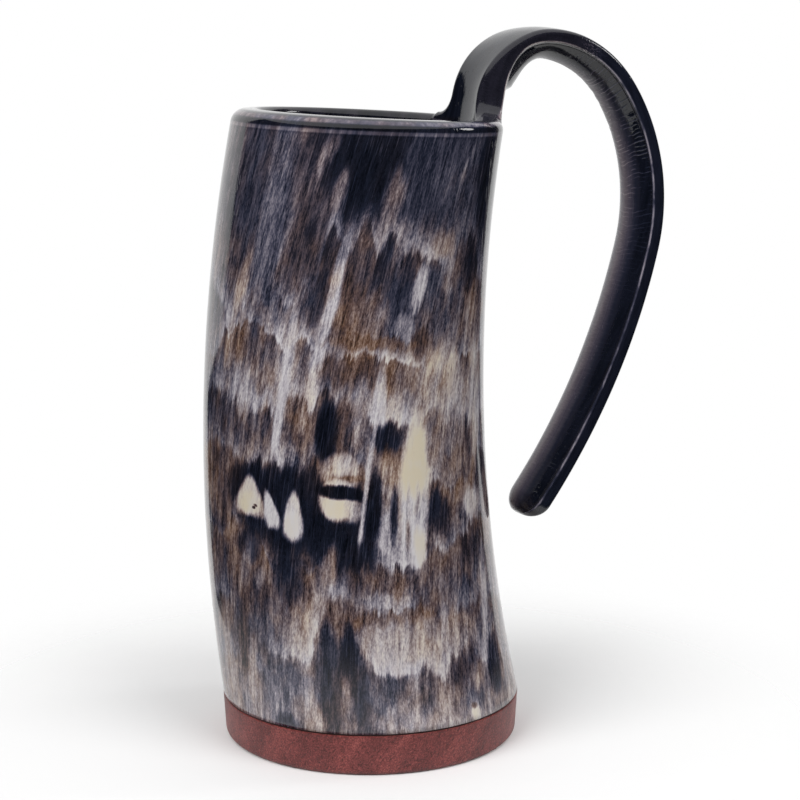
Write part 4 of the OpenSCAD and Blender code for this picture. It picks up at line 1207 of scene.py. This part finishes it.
# Near the root the line is made stronger as a painted reflection on the cut side.
painted_root_reflection = stretch_of_handle((3.0, 9.0), (24.0, 36.0))
wear_and_glint = bench.times(wear_and_glint, bench.times_plus(painted_root_reflection, 0.8, 1.0))
wear_and_glint = bench.times_plus(bench.times(scuff, cut_side), 0.35, wear_and_glint)
handle_pale = bench.times_plus(wear_and_glint, WEAR_AND_GLINT_PALE, handle_pale)
fold_place = bench.times(stretch_of_handle((34.0, 44.0), (62.0, 120.0), 0.10), grip_face)
fold_noise = bench.long_noise(grain, (0.16, 0.16, 0.10), 2.0, 0.5)
wander = bench.times_plus(fold_noise, 2.6, bench.times(across, 1.2))
folds = bench.math("SINE", bench.times(bench.times_plus(way, FOLDS_PER_MM, wander), 2 * math.pi))
patchy = bench.between(bench.long_noise(grain, (0.25, 0.25, 0.5), 2.0, 0.6), 0.42, 0.60)
fold_line = bench.times(bench.times(bench.between(folds, 0.45, 1.0), patchy), fold_place)
# Pale lines on the ridges of the folds: painted highlights.
handle_pale = bench.times_plus(fold_line, FOLD_HIGHLIGHT_PALE, handle_pale)
pale = bench.blend(on_handle, pale, handle_pale)
warm = bench.blend(on_handle, warm, bench.times_plus(sawn, 0.30, bench.times(dull_and_sheen, 0.20)))
print("with wear and folds:", len(bench.tree.nodes), "nodes")

# %% Horn finish: colour and polish
HORN_IOR, DULL_ROUGH, SAWN_ROUGH = 1.54, 0.34, 0.10
RELIEF_STRENGTH, RELIEF_DEPTH = 0.14, 0.0002
cool_colour = colour_ramp(bench, pale, [
    (0.0, 5, 8, 16), (0.18, 39, 43, 60), (0.38, 89, 88, 106), (0.60, 152, 146, 158), (0.80, 210, 203, 210),
    (1.0, 240, 236, 238)])
warm_colour = colour_ramp(bench, pale, [
    (0.0, 7, 7, 11), (0.18, 54, 42, 38), (0.38, 116, 86, 71), (0.60, 173, 146, 131), (0.80, 220, 202, 188),
    (1.0, 242, 230, 205)])
colour = bench.blend_as("RGBA", warm, cool_colour, warm_colour)
polish = group(bench, polish_marks, Place=object_place, Roughness=0.05, Scratches=0.12, Smudges=0.05)
matte = bench.times_plus(dull_and_sheen, DULL_ROUGH, bench.times(sawn, SAWN_ROUGH))
bench.feed(shader, {"Base Color": colour, "Roughness": bench.plus(polish["Roughness"], matte), "IOR": HORN_IOR})
dents = bench.long_noise(object_place, (150.0, 150.0, 150.0), 1.0)
dent_height = bench.times_plus(bench.minus(on_handle, grip_face), 3.0, 1.2)
relief = bench.times_plus(streaks["Fine"], 0.5, polish["Height"])
relief = bench.times_plus(dents, dent_height, relief)
relief = bench.times_plus(bench.times(dull_and_sheen, 0.7), rasp, relief)
relief = bench.times_plus(fold_line, 2.5, relief)
bumped(bench, shader, relief, RELIEF_STRENGTH, RELIEF_DEPTH)
print("polished horn:", len(bench.tree.nodes), "nodes")

# %% [markdown]
# ## Red hardwood
# The base is a reddish tropical hardwood, sanded and oiled. Its plank lies flat, so the grain runs
# across the plate: long darker bands, short open pores, and end grain where the rim cuts the fibres.
# The bands are stretched noise along one level direction, turned a little so they do not follow an axis.

# %% Wood finish
PLANK_TURN = (0.0, math.radians(-38), math.radians(27))
PER_MM = (1 / MM, 1 / MM, 1 / MM)
bench, shader, object_place = finish_of(wood_finish)
plank = bench.node("ShaderNodeMapping", object_place, (0.0, 0.0, 0.0), PLANK_TURN, PER_MM)
across_plank = bench.parts(plank)[0]
wood_streaks = group(bench, fibre_streaks, Place=plank, Fibres_per_mm=1.5, Fibre_length=5.0, Push=2.0)
wave = bench.times(bench.long_noise(plank, (0.06, 0.06, 0.025), 3.0, 0.6), 10.0)
bands = bench.times_plus(bench.math("SINE", bench.times_plus(across_plank, 0.5, wave)), 0.5, 0.5)
pores = bench.between(bench.long_noise(plank, (2.6, 2.6, 0.9), 1.0), 0.56, 0.70)
speck = bench.minus(bench.long_noise(plank, (3.4, 3.4, 2.2), 1.0), 0.5)
tone = bench.times_plus(wood_streaks["Fine"], 0.40, bench.times(wood_streaks["Broad"], 0.34))
tone = bench.plus(bench.times_plus(bands, 0.14, tone), 0.07)
tone = bench.plus(tone, speck)
wood_colour = colour_ramp(bench, tone, [
    (0.18, 68, 30, 30), (0.42, 109, 51, 50), (0.62, 140, 69, 66), (0.85, 172, 96, 90)])
wood_colour = bench.blend_as("RGBA", bench.times(pores, 0.60), wood_colour, srgb(52, 25, 25))
wood_polish = group(bench, polish_marks, Place=object_place, Roughness=0.42, Scratches=0.10, Smudges=0.10)
bench.feed(shader, {"Base Color": wood_colour, "Roughness": wood_polish["Roughness"]})
pore_relief = bench.times_plus(pores, -1.0, bench.times(wood_streaks["Fine"], 0.5))
bumped(bench, shader, pore_relief, 0.35, 0.0003)
print("red hardwood:", len(bench.tree.nodes), "nodes")

# %% [markdown]
# ## Glue, resin and lacquer
# Three thin, dull helpers. The glue is dark and dries with dust in it. The resin is clear with a touch of
# honey and a few trapped bubbles that show as small dips. The lacquer is brushed, so it carries faint
# streaks round the bore and the horn darkens under it.

# %% Glue finish
bench, shader, object_place = finish_of(glue_finish)
dust = bench.noise(object_place, 900.0, 3.0, 0.6)
glue_colour = colour_ramp(bench, dust, [(0.35, 26, 17, 16), (0.75, 58, 38, 34)])
glue_polish = group(bench, polish_marks, Place=object_place, Roughness=0.5, Scratches=0.0, Smudges=0.3)
bench.feed(shader, {"Base Color": glue_colour, "Roughness": glue_polish["Roughness"]})
bumped(bench, shader, dust, 0.3, 0.0002)
print("dark glue:", len(bench.tree.nodes), "nodes")

# %% Resin finish
bench, shader, object_place = finish_of(resin_finish)
dips = bench.between(bench.node("ShaderNodeTexVoronoi", object_place, None, 420.0), 0.10, 0.22)
honey = colour_ramp(bench, bench.noise(object_place, 60.0, 3.0), [(0.3, 236, 206, 164), (0.7, 246, 226, 190)])
resin_polish = group(bench, polish_marks, Place=object_place, Roughness=0.06, Scratches=0.10, Smudges=0.06)
bench.feed(shader, {"Base Color": honey, "Roughness": resin_polish["Roughness"], "IOR": 1.5,
                    "Transmission Weight": 1.0})
bumped(bench, shader, dips, 0.15, 0.0002)
print("clear resin:", len(bench.tree.nodes), "nodes")

# %% Lacquer finish
bench, shader, object_place = finish_of(lacquer_finish)
brushed = bench.long_noise(object_place, (90.0, 90.0, 1400.0), 2.0)
shade = bench.long_noise(object_place, (70.0, 70.0, 25.0), 3.0)
lacquer_colour = colour_ramp(bench, shade, [(0.30, 20, 19, 22), (0.55, 38, 33, 32), (0.75, 78, 66, 58)])
lacquer_polish = group(bench, polish_marks, Place=object_place, Roughness=0.16, Scratches=0.06, Smudges=0.10)
bench.feed(shader, {"Base Color": lacquer_colour, "Roughness": lacquer_polish["Roughness"], "IOR": 1.5})
bumped(bench, shader, brushed, 0.10, 0.0002)
print("finishes:", [finish.name for finish in finishes])

# %% [markdown]
# ## White room
# The mug stands in a white room. The world is white wherever the camera looks, in reflections and
# through clear pieces. Less light than that falls on the mug: it comes from a sweep behind it and from
# a ceiling, so that the colours keep about the values that they were given.

# %% World
STRAIGHT_BEHIND, TO_THE_LEFT = (0.467, 0.884, 0.0), (-0.884, 0.467, 0.0)
LEFT_END, RIGHT_END, SOFT_END = 68.0, -43.0, 1.2
LEFT_TUCK, LEFT_FOOT = LEFT_END - 32.0, LEFT_END - 8.0
DARKEST, WHITE = 0.03, (1.0, 1.0, 1.0, 1.0)
world = bpy.data.worlds.new("white_sweep")
bpy.context.scene.world = world
world.use_nodes = True
world.node_tree.nodes.clear()
bench = Bench(world.node_tree)


def background_rays(bench):
    """1 for what the camera, reflections and clear pieces show, 0 for light that falls on the mug."""
    path = bench.node("ShaderNodeLightPath", out=None).outputs
    return bench.larger(path["Is Camera Ray"], path["Is Transmission Ray"], path["Is Glossy Ray"])


way_out = bench.node("ShaderNodeTexCoord", out=0)
lift = bench.parts(way_out)[2]
behind = bench.vector("DOT_PRODUCT", way_out, STRAIGHT_BEHIND)
leftward = bench.vector("DOT_PRODUCT", way_out, TO_THE_LEFT)
turned_by = bench.math("DEGREES", bench.math("ARCTAN2", leftward, behind))
aside = bench.math("ABSOLUTE", turned_by)
left_end = bench.larger(bench.between(lift, -0.08, 0.0, LEFT_TUCK, LEFT_END),
                        bench.between(lift, -0.36, -0.29, LEFT_FOOT, LEFT_TUCK))
sweep = bench.times(bench.between(bench.minus(left_end, turned_by), -SOFT_END, SOFT_END),
                    bench.between(turned_by, RIGHT_END - SOFT_END, RIGHT_END + SOFT_END))
side_glow = bench.math("POWER", bench.over(aside, LEFT_END), 1.5)
right_glow = bench.between(turned_by, RIGHT_END, RIGHT_END + 24.0, 0.6, 0.0)
low_half = bench.between(lift, 0.04, 0.16, 1.0, 0.30)
high_band = bench.times(bench.between(lift, 0.08, 0.22), bench.between(lift, 0.40, 0.70, 0.75, 0.0))
high_band = bench.times(high_band, bench.between(aside, 15.0, 35.0, 1.0, 0.0))
low_level = bench.times_plus(side_glow, 0.50, bench.plus(right_glow, 0.45))
sweep_level = bench.times_plus(low_level, low_half, high_band)
ceiling = bench.between(lift, 0.70, 0.95, 0.0, 0.9)
room = bench.larger(bench.times(sweep, sweep_level), ceiling, DARKEST)
background = bench.node("ShaderNodeBackground", WHITE, bench.blend(background_rays(bench), room, 1.0))
bench.node("ShaderNodeOutputWorld", background, out=None)
print("world:", len(bench.tree.nodes), "nodes")

# %% [markdown]
# ## Dark card
# Polished horn is a dark mirror, and in an all-white room its blacks would turn grey. A photographer
# stands dark cards round the front of such a piece. One curved card does it here: it is open behind the
# mug, where its two ends give the sharp pale strips along the cup's sides, and only reflections see it.

# %% Dark card
CARD_FAR, CARD_STEPS = 1.2, 60
CARD_ROWS = ((-0.80, 60.0), (-0.46, 60.0), (-0.36, 36.0), (-0.10, 36.0), (0.0, 61.0), (1.10, 61.0))
CARD_BLACK = (0.02, 0.02, 0.02, 1.0)


def studio_thing(name, points, faces):
    """An object of the studio, and the empty bench of its finish."""
    mesh, finish = bpy.data.meshes.new(name), bpy.data.materials.new(name)
    mesh.from_pydata(points, [], faces)
    mesh.materials.append(finish)
    thing = bpy.data.objects.new(name, mesh)
    bpy.context.scene.collection.objects.link(thing)
    finish.use_nodes = True
    finish.node_tree.nodes.clear()
    return thing, Bench(finish.node_tree)


row_size = CARD_STEPS + 1
card_points = []
for card_z, left_turn in CARD_ROWS:
    for t in np.radians(np.linspace(left_turn, 360.0 + RIGHT_END, row_size)):
        level_way = math.cos(t) * np.array(STRAIGHT_BEHIND) + math.sin(t) * np.array(TO_THE_LEFT)
        card_points.append((*(CARD_FAR * level_way[:2]), card_z))
card_faces = [(low + k, low + k + 1, low + row_size + k + 1, low + row_size + k)
              for low in range(0, row_size * (len(CARD_ROWS) - 1), row_size) for k in range(CARD_STEPS)]
dark_card, bench = studio_thing("dark_card", card_points, card_faces)
bench.node("ShaderNodeOutputMaterial", bench.node("ShaderNodeBsdfDiffuse", CARD_BLACK), out=None)
dark_card.visible_camera = dark_card.visible_diffuse = False
dark_card.visible_transmission = dark_card.visible_shadow = False
print("dark card:", len(card_faces), "faces")

# %% [markdown]
# ## Floor and lamps
# The floor is a pale plate that fades out into the white of the room and keeps the mug's soft shadow.
# It is painted white for what shows and grey for what it sends back up, so that it does not light the
# mug from below. Two large lamps, left and right of the camera, light the mug evenly, and a small one
# at the right puts a glint on the edges.

# %% Floor
FLOOR_HALF, FADE_FROM, FADE_TO = 0.6, 0.045, 0.15
FLOOR_GREY = (0.55, 0.55, 0.55, 1.0)
floor_corners = [(x * FLOOR_HALF, y * FLOOR_HALF, 0.0) for x, y in ((-1, -1), (1, -1), (1, 1), (-1, 1))]
pale_floor, bench = studio_thing("pale_floor", floor_corners, [(0, 1, 2, 3)])
away = bench.vector("LENGTH", bench.node("ShaderNodeTexCoord", out=3))
paint = bench.blend_as("RGBA", background_rays(bench), FLOOR_GREY, WHITE)
faded = bench.node("ShaderNodeMixShader", bench.between(away, FADE_FROM, FADE_TO),
                   bench.node("ShaderNodeBsdfDiffuse", paint), bench.node("ShaderNodeBsdfTransparent"))
bench.node("ShaderNodeOutputMaterial", faded, out=None)
print("floor", 2 * FLOOR_HALF, "m wide")

# %% Lamps
MUG_MIDDLE = Vector((0.0, 0.0, 0.09))
LAMPS = (("left_lamp", (-0.95, -0.39, 0.89), 0.9, 11.0, False),
         ("right_lamp", (0.30, -0.98, 0.89), 0.9, 7.5, False),
         ("edge_lamp", (0.95, -0.30, 0.60), 0.25, 1.2, True))
for name, place, size, power, mirrored in LAMPS:
    data = bpy.data.lights.new(name, "AREA")
    data.shape, data.size, data.energy = "DISK", size, power
    lamp = bpy.data.objects.new(name, data)
    lamp.location = place
    lamp.rotation_euler = (MUG_MIDDLE - Vector(place)).to_track_quat("-Z", "Y").to_euler()
    lamp.visible_glossy = mirrored
    bpy.context.scene.collection.objects.link(lamp)
bpy.context.scene.view_settings.view_transform = "Standard"
print("lamps:", [lamp[0] for lamp in LAMPS])

# %% [markdown]
# ## Handing over
# Each piece is hung on the mug's body, and the solid that it stands for is hidden. The mug has no joint,
# so there is one body.

# %% Ride and replace
PIECES = ((horn_cup, "horn_body", "horn"), (wood_plate, "wood_base", "wood"), (wood_plug, None, "wood"),
          (glue_line, "base_glue", "glue"), (resin_floor, "floor_seal", "resin"),
          (bore_coat, "inner_lacquer", "lacquer"))
for piece, node, slot in PIECES:
    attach(piece, "root")
    if node:
        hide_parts(node)
